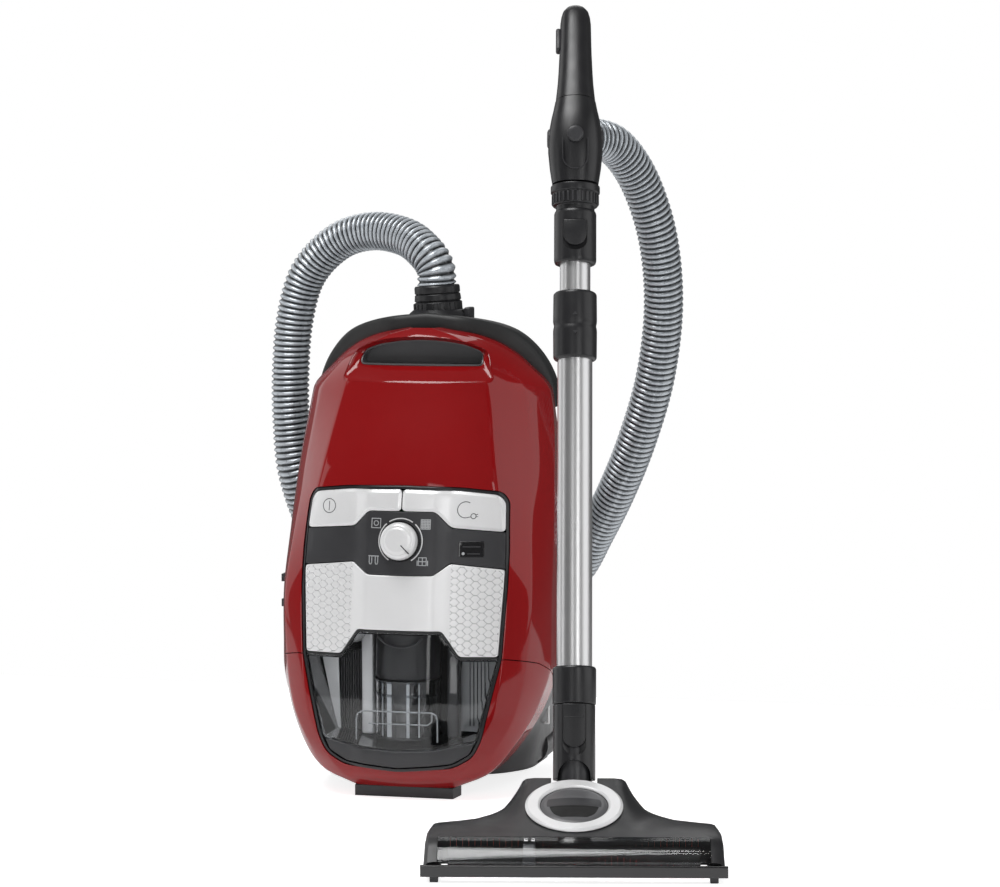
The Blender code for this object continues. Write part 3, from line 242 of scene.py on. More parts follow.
def turned(name, profile, at=None, steps=64, ring=False, angle=32):
    """A turned piece from a profile of (radius, height), about the local Z axis."""
    rings = []
    turns = [math.tau * k / steps for k in range(steps)]
    for radius, height in profile:
        rings.append([(radius * math.cos(a), radius * math.sin(a), height) for a in turns])
    if ring:
        rings.append(rings[0])
    item = loft(name, rings, caps=not ring, angle=angle)
    cleaned(item.data, weld=1e-6)
    smooth_mesh(item.data, angle)
    if at is not None:
        item.data.transform(at)
    return item


def eased(before, corner, after, reach, steps):
    """The points of a short arc that takes the place of a corner."""
    corner = Vector(corner)
    back = Vector(before) - corner
    ahead = Vector(after) - corner
    size = min(reach, back.length * 0.45, ahead.length * 0.45)
    start = corner + back.normalized() * size
    end = corner + ahead.normalized() * size
    shares = [k / steps for k in range(steps + 1)]
    arc = [start * (1 - t) ** 2 + corner * (2 * t * (1 - t)) + end * t ** 2 for t in shares]
    return [(point.x, point.y) for point in arc]


def soft_profile(points, reach, steps=4):
    """A profile whose inner corners are drawn as short arcs."""
    result = [points[0]]
    for before, corner, after in zip(points, points[1:], points[2:]):
        result += eased(before, corner, after, reach, steps)
    return result + [points[-1]]


def rounded(points, radius, steps=5):
    """A closed outline with each corner drawn as a short arc."""
    result = []
    for i, corner in enumerate(points):
        result += eased(points[i - 1], corner, points[(i + 1) % len(points)], radius, steps)
    return result


def to_axis(points, reach, steps=4):
    """A soft profile that ends on the axis, so that it turns into a solid."""
    return soft_profile(points, reach, steps) + [(0.0, points[-1][1])]


def placed(place, degrees, axis):
    """A matrix that turns about an axis and then moves to a place."""
    return Matrix.Translation(place) @ Matrix.Rotation(math.radians(degrees), 4, axis)


def along_line(start, along):
    """A matrix whose Z axis runs from a start in a direction."""
    return Matrix.Translation(start) @ along.to_track_quat("Z", "Y").to_matrix().to_4x4()


def divided(points, count):
    """An open line with each stretch split into equal parts."""
    fine = []
    for a, b in zip(points, points[1:]):
        for k in range(count):
            t = k / count
            fine.append((a[0] + (b[0] - a[0]) * t, a[1] + (b[1] - a[1]) * t))
    return fine + [points[-1]]


def relaxed(points, rounds):
    """A row of points drawn towards their neighbours; the two ends stay."""
    points = np.array(points)
    for _ in range(rounds):
        points[1:-1] = 0.5 * points[1:-1] + 0.25 * (points[:-2] + points[2:])
    return points


def both_halves(half):
    return list(half) + [(-x, z) for x, z in reversed(half) if x > 0]


def mirrored(outline):
    return [(-x, z) for x, z in outline]


def inset(outline, amount):
    """A closed outline moved inwards by about the amount."""
    points = [Vector(point) for point in outline]
    area = sum(a.x * b.y - b.x * a.y for a, b in zip(points, points[1:] + points[:1]))
    side = 1.0 if area > 0 else -1.0
    result = []
    for i, point in enumerate(points):
        before = (point - points[i - 1]).normalized()
        after = (points[(i + 1) % len(points)] - point).normalized()
        normal = Vector((-(before.y + after.y), before.x + after.x)).normalized() * side
        spread = max(0.5, abs(normal.dot(Vector((-after.y, after.x)))))
        result.append(point + normal * amount / spread)
    return [(point.x, point.y) for point in result]


def resampled(outline, spacing):
    """A closed outline with points added so that no edge is longer than the spacing."""
    result = []
    for a, b in zip(outline, list(outline[1:]) + [outline[0]]):
        a = Vector(a)
        b = Vector(b)
        count = max(1, math.ceil((b - a).length / spacing))
        for k in range(count):
            point = a.lerp(b, k / count)
            result.append((point.x, point.y))
    return result


def prism(name, outline, low, high, axis="Y", angle=32, at=None):
    """A flat outline extruded along an axis; outline (x, z) for Y, (y, z) for X, (x, y) for Z."""
    order = {"X": (2, 0, 1), "Y": (0, 2, 1), "Z": (0, 1, 2)}[axis]
    rings = [[[(u, v, w)[k] for k in order] for u, v in outline] for w in (low, high)]
    return loft(name, rings, angle=angle, at=at)


def soft_box(name, low, high, edge, at=None, segments=3):
    """A box with rounded edges."""
    low = Vector(low)
    high = Vector(high)
    bm = bmesh.new()
    bmesh.ops.create_cube(bm, size=1.0)
    bmesh.ops.scale(bm, vec=high - low, verts=bm.verts)
    bmesh.ops.translate(bm, vec=(low + high) / 2, verts=bm.verts)
    bmesh.ops.bevel(bm, geom=bm.edges, offset=edge, segments=segments, profile=0.5, affect="EDGES")
    mesh = bpy.data.meshes.new(name)
    bm.to_mesh(mesh)
    bm.free()
    if at is not None:
        mesh.transform(at)
    return linked(name, smooth_mesh(mesh, 40))


def joined(name, items):
    """Several objects as one."""
    bm = bmesh.new()
    for item in items:
        bm.from_mesh(item.data)
        bpy.data.objects.remove(item)
    mesh = bpy.data.meshes.new(name)
    bm.to_mesh(mesh)
    bm.free()
    return linked(name, smooth_mesh(mesh))


def monotone(xs, ys, at):
    """A monotone smooth curve through the points, read at many places."""
    xs = np.asarray(xs, float)
    ys = np.asarray(ys, float)
    at = np.clip(np.asarray(at, float), xs[0], xs[-1])
    steps = np.diff(xs)
    slopes = np.diff(ys) / steps
    same = slopes[:-1] * slopes[1:] > 0
    total = np.where(same, slopes[:-1] + slopes[1:], 1.0)
    middle = np.where(same, 2 * slopes[:-1] * slopes[1:] / total, 0.0)
    tangents = np.concatenate(([slopes[0]], middle, [slopes[-1]]))
    k = np.clip(np.searchsorted(xs, at, side="right") - 1, 0, len(steps) - 1)
    t = (at - xs[k]) / steps[k]
    return (ys[k] * (1 + 2 * t) * (1 - t) ** 2 + tangents[k] * steps[k] * t * (1 - t) ** 2
            + ys[k + 1] * t * t * (3 - 2 * t) + tangents[k + 1] * steps[k] * t * t * (t - 1))


def body_column(column, z):
    return monotone(BODY_STATIONS[:, 0], BODY_STATIONS[:, column], z)


def face_y(x, z):
    """y of the canister's front face at (x, z), arrays or numbers."""
    y, width, crown, ridge_w, ridge_y = (body_column(c, z) for c in range(1, 6))
    x = np.abs(x)
    flat = y + crown * (x / width) ** 2
    slope = y + crown + (ridge_y - y - crown) * (x - width) / (ridge_w - width)
    return np.where(x <= width, flat, slope)


def panel_y(x, z):
    """y of the panel's front surface with its raised spine."""
    rise = np.clip((SPINE_FOOT - np.abs(x)) / (SPINE_FOOT - SPINE_FLAT), 0.0, 1.0)
    return face_y(x, z) + PANEL_SINK - SPINE_HEIGHT * rise


def inside(points, outline):
    """Which points (n, 2) lie in a closed outline."""
    x, z = points[:, 0], points[:, 1]
    result = np.zeros(len(points), bool)
    for (ax, az), (bx, bz) in zip(outline, list(outline[1:]) + [outline[0]]):
        crosses = (az > z) != (bz > z)
        with np.errstate(divide="ignore", invalid="ignore"):
            edge_x = ax + (z - az) * (bx - ax) / (bz - az)
        result ^= crosses & (x < edge_x)
    return result


def plate(name, outline, near, far, edge=0.0008, drop=None, spacing=0.005, relief=None, hole=None,
          surface=panel_y, flat_back=None, angle=32, flat_edge=False, fine=None):
    """A plate that follows the panel's surface, between two depths, with its front edge rounded.

    relief(x, z) lowers the front by a depth.  With flat_edge the edge is a plain facet.
    fine is a step and the |x| beyond which the surface takes it."""
    drop = edge if drop is None else drop
    shares = (0.0, 0.08, 0.92, 1.0) if flat_edge else (0.0, 0.12, 0.35, 0.65, 1.0)
    points = []
    depths = []
    loops = []
    base = resampled(outline, spacing)
    for share in shares:
        ring = base if share == 0.0 else inset(base, edge * share)
        fall = 1 - share if flat_edge else 1 - math.sqrt(1 - (1 - share) ** 2)
        loops.append(list(range(len(points), len(points) + len(ring))))
        points += ring
        depths += [drop * fall] * len(ring)
    hole_loop = None
    if hole is not None:
        ring = resampled(hole, spacing)
        hole_loop = list(range(len(points), len(points) + len(ring)))
        points += ring
        depths += [0.0] * len(ring)
    array = np.array(outline)
    low = array.min(0)
    high = array.max(0)
    grid_x, grid_z = np.meshgrid(np.arange(low[0] + spacing / 2, high[0], spacing),
                                 np.arange(low[1] + spacing / 2, high[1], spacing))
    grid = np.stack([grid_x.ravel(), grid_z.ravel()], 1)
    grid = grid[inside(grid, inset(base, edge + spacing * 0.35))]
    if fine is not None:
        step, limit = fine
        fine_x, fine_z = np.meshgrid(np.arange(low[0] + step / 2, high[0], step),
                                     np.arange(low[1] + step / 2, high[1], step))
        dense = np.stack([fine_x.ravel(), fine_z.ravel()], 1)
        dense = dense[(np.abs(dense[:, 0]) > limit) & inside(dense, inset(base, edge + step * 0.5))]
        grid = np.concatenate([grid[np.abs(grid[:, 0]) < limit], dense])
    if hole is not None:
        grid = grid[~inside(grid, inset(ring, -spacing * 0.35))]
    for line in (-SPINE_FOOT, -SPINE_FLAT, SPINE_FLAT, SPINE_FOOT):
        if surface is panel_y and low[0] < line < high[0]:
            grid = grid[np.abs(grid[:, 0] - line) > spacing * 0.4]
            row = np.arange(low[1], high[1], spacing)
            column = np.stack([np.full(len(row), line), row], 1)
            column = column[inside(column, inset(base, edge + 0.0004))]
            if hole is not None:
                column = column[~inside(column, ring)]
            grid = np.concatenate([grid, column])
    points += [tuple(point) for point in grid]
    depths += [0.0] * len(grid)
    edges = []
    for loop in loops + ([hole_loop] if hole_loop else []):
        edges += list(zip(loop, loop[1:] + loop[:1]))
    found = delaunay_2d_cdt([Vector(p) for p in points], edges, [], 0, 1e-7)
    flat = np.array([tuple(v) for v in found[0]])
    source = [ids[0] if ids else -1 for ids in found[3]]
    fall = np.array([depths[i] if i >= 0 else 0.0 for i in source])
    centers = np.array([np.mean([flat[i] for i in face], axis=0) for face in found[2]])
    good = inside(centers, base)
    if hole is not None:
        good &= ~inside(centers, ring)
    faces = [face for face, ok in zip(found[2], good) if ok]
    x, z = flat[:, 0], flat[:, 1]
    front = surface(x, z) + near + fall
    pattern = np.zeros(len(flat))
    if relief is not None:
        pattern = relief(x, z) * (fall == 0.0)
        front = front + pattern
    back = np.full(len(flat), flat_back) if flat_back is not None else surface(x, z) + far
    verts = np.concatenate([np.stack([x, front, z], 1), np.stack([x, back, z], 1)])
    count = len(flat)
    number = {}
    for index, ids in enumerate(found[3]):
        for i in ids:
            number[i] = index
    solid = [tuple(face) for face in faces] + [tuple(i + count for i in reversed(face)) for face in faces]
    for loop in [loops[0]] + ([hole_loop] if hole_loop else []):
        for i, j in zip(loop, loop[1:] + loop[:1]):
            a = number[i]
            b = number[j]
            solid.append((a, b, b + count, a + count))
    item = make_object(name, verts, solid, angle)
    if relief is not None:
        layer = item.data.attributes.new("relief", "FLOAT", "POINT")
        layer.data.foreach_set("value", np.concatenate([pattern, np.zeros(count)]).astype(np.float32))
    bm = bmesh.new()
    bm.from_mesh(item.data)
    loose = [v for v in bm.verts if not v.link_faces]
    bmesh.ops.delete(bm, geom=loose, context="VERTS")
    bm.to_mesh(item.data)
    bm.free()
    return item


def on_surface(strokes, name, lift, thickness=0.0004, surface=panel_y):
    """Flat marks that lie on the panel: each stroke is a closed (x, z) outline."""
    verts = []
    faces = []
    for stroke in strokes:
        start = len(verts)
        count = len(stroke)
        for depth in (-lift, thickness):
            for x, z in stroke:
                verts.append((x, float(surface(x, z)) + depth, z))
        faces.append(tuple(range(start, start + count)))
        faces.append(tuple(reversed(range(start + count, start + 2 * count))))
        for i in range(count):
            j = (i + 1) % count
            faces.append((start + i, start + j, start + count + j, start + count + i))
    return make_object(name, verts, faces)


def line_mark(points, width, closed=False):
    """A thin line as a list of closed four-sided strokes."""
    strokes = []
    pairs = list(zip(points, points[1:] + (points[:1] if closed else [])))
    if not closed:
        pairs = pairs[:len(points) - 1]
    for a, b in pairs:
        a = Vector(a)
        b = Vector(b)
        side = Vector((-(b - a).y, (b - a).x)).normalized() * width / 2
        ahead = (b - a).normalized() * width * 0.25
        corners = (a - ahead + side, b + ahead + side, b + ahead - side, a - ahead - side)
        strokes.append([(c.x, c.y) for c in corners])
    return strokes


def arc_points(center, radius, start, end, count):
    """Points on an arc; angles in degrees, anticlockwise from +x as seen from the front."""
    result = []
    for k in range(count + 1):
        angle = math.radians(start + (end - start) * k / count)
        result.append((center[0] + radius * math.cos(angle), center[1] + radius * math.sin(angle)))
    return result


# ---------------------------------------------------------------- materials

def shader_of(mat):
    return mat.node_tree.nodes["Principled BSDF"]


def plain(name, colour, roughness, metallic=0.0, coat=0.0, coat_roughness=0.05):
    mat = bpy.data.materials.new(name)
    mat.use_nodes = True
    shader = shader_of(mat)
    shader.inputs["Base Color"].default_value = (*colour, 1.0)
    shader.inputs["Roughness"].default_value = roughness
    shader.inputs["Metallic"].default_value = metallic
    shader.inputs["Coat Weight"].default_value = coat
    shader.inputs["Coat Roughness"].default_value = coat_roughness
    return mat


def noise(mat, scale, detail=3.0, stretch=(1, 1, 1)):
    """A noise texture in the object's own coordinates."""
    tree = mat.node_tree
    place = tree.nodes.new("ShaderNodeTexCoord")
    mapping = tree.nodes.new("ShaderNodeMapping")
    mapping.inputs["Scale"].default_value = stretch
    texture = tree.nodes.new("ShaderNodeTexNoise")
    texture.inputs["Scale"].default_value = scale
    texture.inputs["Detail"].default_value = detail
    tree.links.new(place.outputs["Object"], mapping.inputs["Vector"])
    tree.links.new(mapping.outputs["Vector"], texture.inputs["Vector"])
    return texture.outputs["Fac"]


def spread(mat, source, low, high, from_low=0.3, from_high=0.7):
    """A value stretched to a new range."""
    node = mat.node_tree.nodes.new("ShaderNodeMapRange")
    node.inputs["From Min"].default_value = from_low
    node.inputs["From Max"].default_value = from_high
    node.inputs["To Min"].default_value = low
    node.inputs["To Max"].default_value = high
    mat.node_tree.links.new(source, node.inputs["Value"])
    return node.outputs["Result"]


def tint(mat, source, first, second):
    """Base colour that runs between two colours."""
    tree = mat.node_tree
    mix = tree.nodes.new("ShaderNodeMix")
    mix.data_type = "RGBA"
    mix.inputs["A"].default_value = (*first, 1.0)
    mix.inputs["B"].default_value = (*second, 1.0)
    tree.links.new(source, mix.inputs["Factor"])
    tree.links.new(mix.outputs["Result"], shader_of(mat).inputs["Base Color"])


def bump(mat, source, strength, distance):
    tree = mat.node_tree
    node = tree.nodes.new("ShaderNodeBump")
    node.inputs["Strength"].default_value = strength
    node.inputs["Distance"].default_value = distance
    tree.links.new(source, node.inputs["Height"])
    tree.links.new(node.outputs["Normal"], shader_of(mat).inputs["Normal"])


def roughen(mat, source, low, high):
    mat.node_tree.links.new(spread(mat, source, low, high), shader_of(mat).inputs["Roughness"])


def shade(colour, factor):
    return tuple(min(1.0, c * factor) for c in colour)


def moulded(name, colour, roughness, grain=0.00004, scale=1400.0, metallic=0.0, coat=0.0):
    """Moulded plastic: slow colour drift, uneven gloss and a fine grain."""
    mat = plain(name, colour, roughness, metallic, coat)
    drift = noise(mat, 14.0)
    tint(mat, drift, shade(colour, 0.88), shade(colour, 1.14))
    roughen(mat, noise(mat, 60.0), roughness * 0.88, roughness * 1.15)
    bump(mat, noise(mat, scale, 2.0), 0.35, grain)
    return mat


def lacquer():
    """Deep red high-gloss shell: clear coat over a coloured plastic with a faint orange peel."""
    colour = (0.255, 0.0030, 0.0042)
    mat = plain("red_lacquer", colour, 0.42, coat=0.85, coat_roughness=0.05)
    shader_of(mat).inputs["Specular IOR Level"].default_value = 0.06
    tint(mat, noise(mat, 9.0), shade(colour, 0.95), shade(colour, 1.05))
    roughen(mat, noise(mat, 45.0), 0.38, 0.48)
    bump(mat, noise(mat, 160.0, 1.0), 0.10, 0.00005)
    return mat


def silver(name, groove=False):
    """Silver metallic lacquer with fine flakes; in the grooves of a pattern it is painted darker, as shade.
    """
    colour = (0.82, 0.82, 0.825)
    mat = plain(name, colour, 0.34, metallic=0.20, coat=0.35, coat_roughness=0.10)
    if groove:
        tree = mat.node_tree
        layer = tree.nodes.new("ShaderNodeAttribute")
        layer.attribute_name = "relief"
        # Painted shade: the colour darkens with the relief's depth, so the grooves of the pattern look
        # shaded.
        tint(mat, spread(mat, layer.outputs["Fac"], 0.0, 1.0, 0.00005, RELIEF_DEPTH), (0.86, 0.86, 0.865),
             (0.28, 0.28, 0.29))
    else:
        tint(mat, noise(mat, 2600.0, 1.0), shade(colour, 0.93), shade(colour, 1.07))
    roughen(mat, noise(mat, 70.0), 0.30, 0.38)
    bump(mat, noise(mat, 2600.0, 1.0), 0.10, 0.00003)
    return mat


def steel(name, colour, rough):
    """Drawn stainless tube with a satin surface that varies only slowly."""
    mat = plain(name, colour, rough, metallic=1.0)
    lines = noise(mat, 6.0, 1.0)
    tint(mat, lines, shade(colour, 0.97), shade(colour, 1.02))
    roughen(mat, lines, rough * 0.95, rough * 1.05)
    return mat


def clear(name, colour=(0.96, 0.97, 0.98), rough=0.02):
    """Clear polycarbonate that lets the lamps through to what is behind it."""
    mat = plain(name, colour, rough)
    tree = mat.node_tree
    shader = shader_of(mat)
    shader.inputs["Transmission Weight"].default_value = 1.0
    shader.inputs["IOR"].default_value = 1.38
    roughen(mat, noise(mat, 30.0), rough * 0.7, rough * 1.5)
    open_node = tree.nodes.new("ShaderNodeBsdfTransparent")
    open_node.inputs["Color"].default_value = (0.93, 0.94, 0.95, 1.0)
    mix = tree.nodes.new("ShaderNodeMixShader")
    path = tree.nodes.new("ShaderNodeLightPath")
    output = tree.nodes["Material Output"]
    tree.links.new(path.outputs["Is Shadow Ray"], mix.inputs["Fac"])
    tree.links.new(shader.outputs["BSDF"], mix.inputs[1])
    tree.links.new(open_node.outputs["BSDF"], mix.inputs[2])
    tree.links.new(mix.outputs["Shader"], output.inputs["Surface"])
    return mat


def hose_skin():
    """Silver-grey ribs whose grooves are painted near black, as shade; the rib layer tells crest from groove.
    """
    mat = plain("hose_grey", (0.36, 0.39, 0.42), 0.28, metallic=0.35, coat=0.4, coat_roughness=0.12)
    tree = mat.node_tree
    layer = tree.nodes.new("ShaderNodeAttribute")
    layer.attribute_name = "rib"
    # Painted shade: the base colour runs from near black in the grooves to silver-grey on the crests.
    tint(mat, spread(mat, layer.outputs["Fac"], 0.0, 1.0, 0.12, 0.72), (0.010, 0.012, 0.014),
         (0.54, 0.58, 0.62))
    roughen(mat, noise(mat, 200.0), 0.24, 0.36)
    return mat


def banded(name, first, second, scale, axis, rough):
    """Straight bands, as of pleats or printed tracks."""
    mat = plain(name, first, rough)
    tree = mat.node_tree
    place = tree.nodes.new("ShaderNodeTexCoord")
    wave = tree.nodes.new("ShaderNodeTexWave")
    wave.bands_direction = axis
    wave.inputs["Scale"].default_value = scale
    tree.links.new(place.outputs["Object"], wave.inputs["Vector"])
    tint(mat, wave.outputs["Fac"], first, second)
    bump(mat, wave.outputs["Fac"], 0.6, 0.001)
    return mat


RELIEF_DEPTH = 0.00045
MATERIALS = {
    "red_lacquer": lacquer(),
    "black_plastic": moulded("black_plastic", (0.0135, 0.0135, 0.015), 0.34),
    "black_gloss": moulded("black_gloss", (0.009, 0.009, 0.010), 0.12, grain=0.00001, coat=0.6),
    "black_rubber": moulded("black_rubber", (0.016, 0.0165, 0.017), 0.50, grain=0.00006, scale=900.0),
    "dark_grey": moulded("dark_grey", (0.034, 0.034, 0.037), 0.38),
    "liner_grey": moulded("liner_grey", (0.11, 0.11, 0.115), 0.32),
    "pit_black": moulded("pit_black", (0.004, 0.004, 0.004), 0.7),
    "silver_plastic": silver("silver_plastic"),
    "silver_pattern": silver("silver_pattern", groove=True),
    "clear_plastic": clear("clear_plastic"),
    "smoked_clear": clear("smoked_clear", (0.55, 0.56, 0.58), 0.04),
    "steel_tube": steel("steel_tube", (0.72, 0.72, 0.725), 0.33),
    "motor_steel": steel("motor_steel", (0.50, 0.50, 0.52), 0.32),
    "hose_grey": hose_skin(),
    "filter_white": banded("filter_white", (0.80, 0.80, 0.77), (0.52, 0.52, 0.50), 90.0, "X", 0.85),
    "board_green": banded("board_green", (0.010, 0.11, 0.035), (0.020, 0.20, 0.06), 60.0, "Z", 0.45),
    "bristle_red": moulded("bristle_red", (0.85, 0.05, 0.02), 0.55, grain=0.0002, scale=2400.0),
    # Grey of the printed signs, also used for the screen bars, where it is partly a painted highlight.
    "print_and_highlight_grey": moulded("print_and_highlight_grey", (0.42, 0.43, 0.44), 0.45),
    "print_dark": moulded("print_dark", (0.05, 0.05, 0.055), 0.45),
    "print_clear": moulded("print_clear", (0.22, 0.23, 0.24), 0.12, grain=0.00001, coat=1.0),
    # Painted highlight: the white of the small hooks, which stand in for glints.
    "glint_white": moulded("glint_white", (0.85, 0.85, 0.85), 0.40),
}


def finish(item, body, material, replaces=()):
    """Give a piece its material and slot, and let it ride on its body."""
    item.data.materials.clear()
    item.data.materials.append(MATERIALS[material])
    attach(item, body)
    if replaces:
        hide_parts(*replaces)
    return item


# ---------------------------------------------------------------- camera and hose

def make_camera():
    azimuth = math.radians(13.0)
    elevation = math.radians(5.0)
    back = Vector((math.sin(azimuth) * math.cos(elevation), -math.cos(azimuth) * math.cos(elevation),
                   math.sin(elevation)))
    data = bpy.data.cameras.new("camera")
    data.sensor_width = 36.0
    data.lens = 124.2
    data.clip_end = 60.0
    item = linked("camera", data)
    item.location = (0.90112, -3.53932, 0.68435)
    item.rotation_mode = "QUATERNION"
    item.rotation_quaternion = (-back).to_track_quat("-Z", "Y")
    bpy.context.scene.camera = item


def smooth_route(route, steps=24):
    """A finely sampled smooth curve through the route's points."""
    padded = np.concatenate([[2 * route[0] - route[1]], route, [2 * route[-1] - route[-2]]])
    fine = []
    for a, b, c, d in zip(padded, padded[1:], padded[2:], padded[3:]):
        for k in range(steps):
            t = k / steps
            fine.append(0.5 * (2 * b + (c - a) * t + (2 * a - 5 * b + 4 * c - d) * t * t
                               + (3 * b - a - 3 * c + d) * t ** 3))
    return np.array(fine + [route[-1]])


def make_hose():
    """One corrugated tube: a raised rib winds round it as a helix."""
    fine = smooth_route(HOSE_ROUTE)
    lengths = np.concatenate(([0.0], np.cumsum(np.linalg.norm(np.diff(fine, axis=0), axis=1))))
    total = lengths[-1]
    count = int(total / HOSE_PITCH * HOSE_SAMPLES)
    at = np.linspace(0.0, total, count + 1)
    centers = np.stack([np.interp(at, lengths, fine[:, k]) for k in range(3)], 1)
    tangents = np.gradient(centers, axis=0)
    kernel = np.ones(HOSE_SAMPLES) / HOSE_SAMPLES
    spare = [np.pad(tangents[:, k], HOSE_SAMPLES // 2, mode="edge") for k in range(3)]
    tangents = np.stack([np.convolve(row, kernel, "valid") for row in spare], 1)
    tangents /= np.linalg.norm(tangents, axis=1)[:, None]
    normal = np.cross(tangents[0], (0.0, 1.0, 0.0))
    angles = np.arange(HOSE_SIDES) * math.tau / HOSE_SIDES
    verts = []
    ribs = []
    for center, tangent, length in zip(centers, tangents, at):
        normal = normal - tangent * (normal @ tangent)
        normal /= np.linalg.norm(normal)
        across = np.cross(tangent, normal)
        crest = (0.5 + 0.5 * np.cos(math.tau * length / HOSE_PITCH - angles)) ** 0.8
        radius = HOSE_RADIUS - HOSE_GROOVE * (1 - crest)
        verts.append(center + radius[:, None] * (np.cos(angles)[:, None] * normal
                                                 + np.sin(angles)[:, None] * across))
        ribs.append(crest)
    hose = loft("ribbed_hose", verts, angle=80)
    layer = hose.data.attributes.new("rib", "FLOAT", "POINT")
    layer.data.foreach_set("value", np.concatenate(ribs).astype(np.float32))
    hose.data.materials.append(MATERIALS["hose_grey"])
    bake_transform(hose)
    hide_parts("hose_lower_run", "hose_upper_run")


# ---------------------------------------------------------------- canister

# Shares of a flank at which its points lie, closer together beside the creases
CREASED = (0.03, 0.08, 0.15, 0.25, 0.4, 0.55, 0.7, 0.85, 0.93, 0.975, 1.0)


def section(z):
    """Right half of the canister's section at height z, with softened creases."""
    face, width, crown, ridge_w, ridge_y, side_w, side_y, rim_w, rim_y = (
        float(body_column(c, z)) for c in range(1, 10))
    shares = np.concatenate((np.linspace(0.0, 0.9, 10), (0.94, 0.97, 0.99, 1.0)))
    points = [(width * t, face + crown * t * t) for t in shares]
    corners = ((width, face + crown), (ridge_w, ridge_y), (side_w, side_y), (rim_w, rim_y))
    corners = [Vector(corner) for corner in corners]
    for a, b, bulge in zip(corners, corners[1:], (CHAMFER_BULGE, FACE_BULGE, 0.0)):
        along = b - a
        outward = Vector((along.y, -along.x)).normalized()
        for t in CREASED:
            point = a.lerp(b, t) + outward * bulge * 4 * t * (1 - t)
            points.append((point.x, point.y))
    return relaxed(points, 3)


def shell_ring(z):
    half = section(z)
    left = [(-x, y, z) for x, y in half[:0:-1]]
    return left + [(x, y, z) for x, y in half]


def carry_outline(grow):
    """Outline of the carry handle's recess; grow widens it all round."""
    slot = [(-0.0680, 0.4485), (-0.0650, 0.4635), (-0.0470, 0.4702), (-0.0240, 0.4740), (0.0, 0.4752)]
    wide = [(-0.0835, 0.4320), (-0.0730, 0.4640), (-0.0520, 0.4742), (-0.0270, 0.4784), (0.0, 0.4797)]
    slot += mirrored(slot[-2::-1])
    wide += mirrored(wide[-2::-1])
    mixed = [(a + (c - a) * grow, b + (d - b) * grow) for (a, b), (c, d) in zip(slot, wide)]
    corners = rounded(mixed, 0.008, 6)
    return divided(corners + corners[:1], 4)[:-1]


def make_shells():
    """The two red shells, their seam and the sloping walls of the carry recess."""
    upper_heights = np.concatenate((np.linspace(0.095, 0.440, 58), np.linspace(0.443, SHELL_TOP, 20)))
    lower_heights = np.linspace(SHELL_BOTTOM, 0.160, 34)
    for name, heights, side in (("upper_shell", upper_heights, 1), ("lower_shell", lower_heights, -1)):
        shell = loft(name + "_casing", [shell_ring(z) for z in heights], closed=False, caps=False)
        solidify(shell, SHELL_WALL)
        apply_all(shell)
        opening = prism("opening", rounded(both_halves(PANEL_OUTLINE), 0.008), -0.30, -0.02)
        line = [(y, z + side * SEAM_HALF_GAP) for y, z in SEAM]
        far = 0.60 if side > 0 else -0.10
        keep = prism("keep", line + [(line[-1][0], far), (line[0][0], far)], -0.2, 0.2, "X")
        tools = [opening]
        if side > 0:
            tools.append(prism("recess", carry_outline(1.0), -0.20, 0.0115))
        cut(shell, *tools, keep=[keep])
        finish(shell, "canister", "red_lacquer", replaces=[name])
    rings = []
    for grow, depth in ((1.0, 0.0003), (0.93, 0.0005), (0.85, 0.0014), (0.78, 0.0030), (0.30, 0.0110),
                        (0.10, 0.0140), (0.02, 0.0160), (0.0, 0.0185), (0.3, 0.0190), (1.0, 0.0100)):
        rings.append([(x, float(face_y(x, z)) + depth, z) for x, z in carry_outline(grow)])
    rings.append(rings[0])
    finish(loft("carry_recess", rings, caps=False), "canister", "red_lacquer")
    lining = carry_outline(-0.02)
    walls = [[(x, float(face_y(x, z)) + 0.0175, z) for x, z in lining], [(x, 0.0190, z) for x, z in lining]]
    cup = loft("handle_cup", walls, caps=False)
    solidify(cup, 0.0012)
    apply_all(cup)
    floor = prism("handle_back", lining, 0.0170, 0.0192)
    finish(joined("handle_lining", [cup, floor]), "canister", "liner_grey",
           replaces=["handle_liner"])


def band_foot(x, z):
    """The point of the body's outline that lies under a point of the band."""
    side = 1.0 if x >= 0 else -1.0
    if abs(x) < 0.001:
        return 0.0, SHELL_TOP + BAND_GAP
    heights = np.linspace(0.39, SHELL_TOP, 400)
    widths = body_column(8, heights) + 0.0022
    across = np.abs(widths * (z - BAND_CENTER_Z) - abs(x) * (heights - BAND_CENTER_Z))
    best = int(np.argmin(across))
    return side * widths[best], heights[best] + BAND_GAP


def make_band():
    """Rubber band over the hose end, with rounded edges."""
    half = np.array(BAND_OUTLINE)
    key = np.linspace(0.0, 1.0, len(half))
    steps = np.linspace(0.0, 1.0, 40)
    xs = np.interp(steps, key, half[:, 0])
    zs = np.interp(steps, key, half[:, 1])
    line = relaxed(np.stack([xs, zs], 1), 12)
    arch = list(line) + [(-x, z) for x, z in line[-2::-1]]
    rings = []
    for x, z in arch:
        inner_x, inner_z = band_foot(x, z)
        front = max(float(body_column(9, min(inner_z, SHELL_TOP))), 0.014) + 0.0006
        back = front + BAND_DEPTH[0] + (BAND_DEPTH[1] - BAND_DEPTH[0]) * min(1.0, abs(x) / 0.075)
        outer = Vector((x, z))
        inner = Vector((inner_x * 0.93, BAND_CENTER_Z + (inner_z - BAND_CENTER_Z) * 0.965))
        edge = ((0.0, front + 0.0012), (0.12, front + 0.0002), (0.75, front), (0.92, front + 0.0012),
                (1.0, front + 0.0035), (1.0, back - 0.004), (0.95, back - 0.001), (0.85, back), (0.0, back))
        places = [(inner.lerp(outer, share), y) for share, y in edge]
        rings.append([(point.x, y, point.y) for point, y in places])
    finish(loft("bumper_band_skin", rings, angle=50), "canister", "black_rubber", replaces=["bumper_band"])


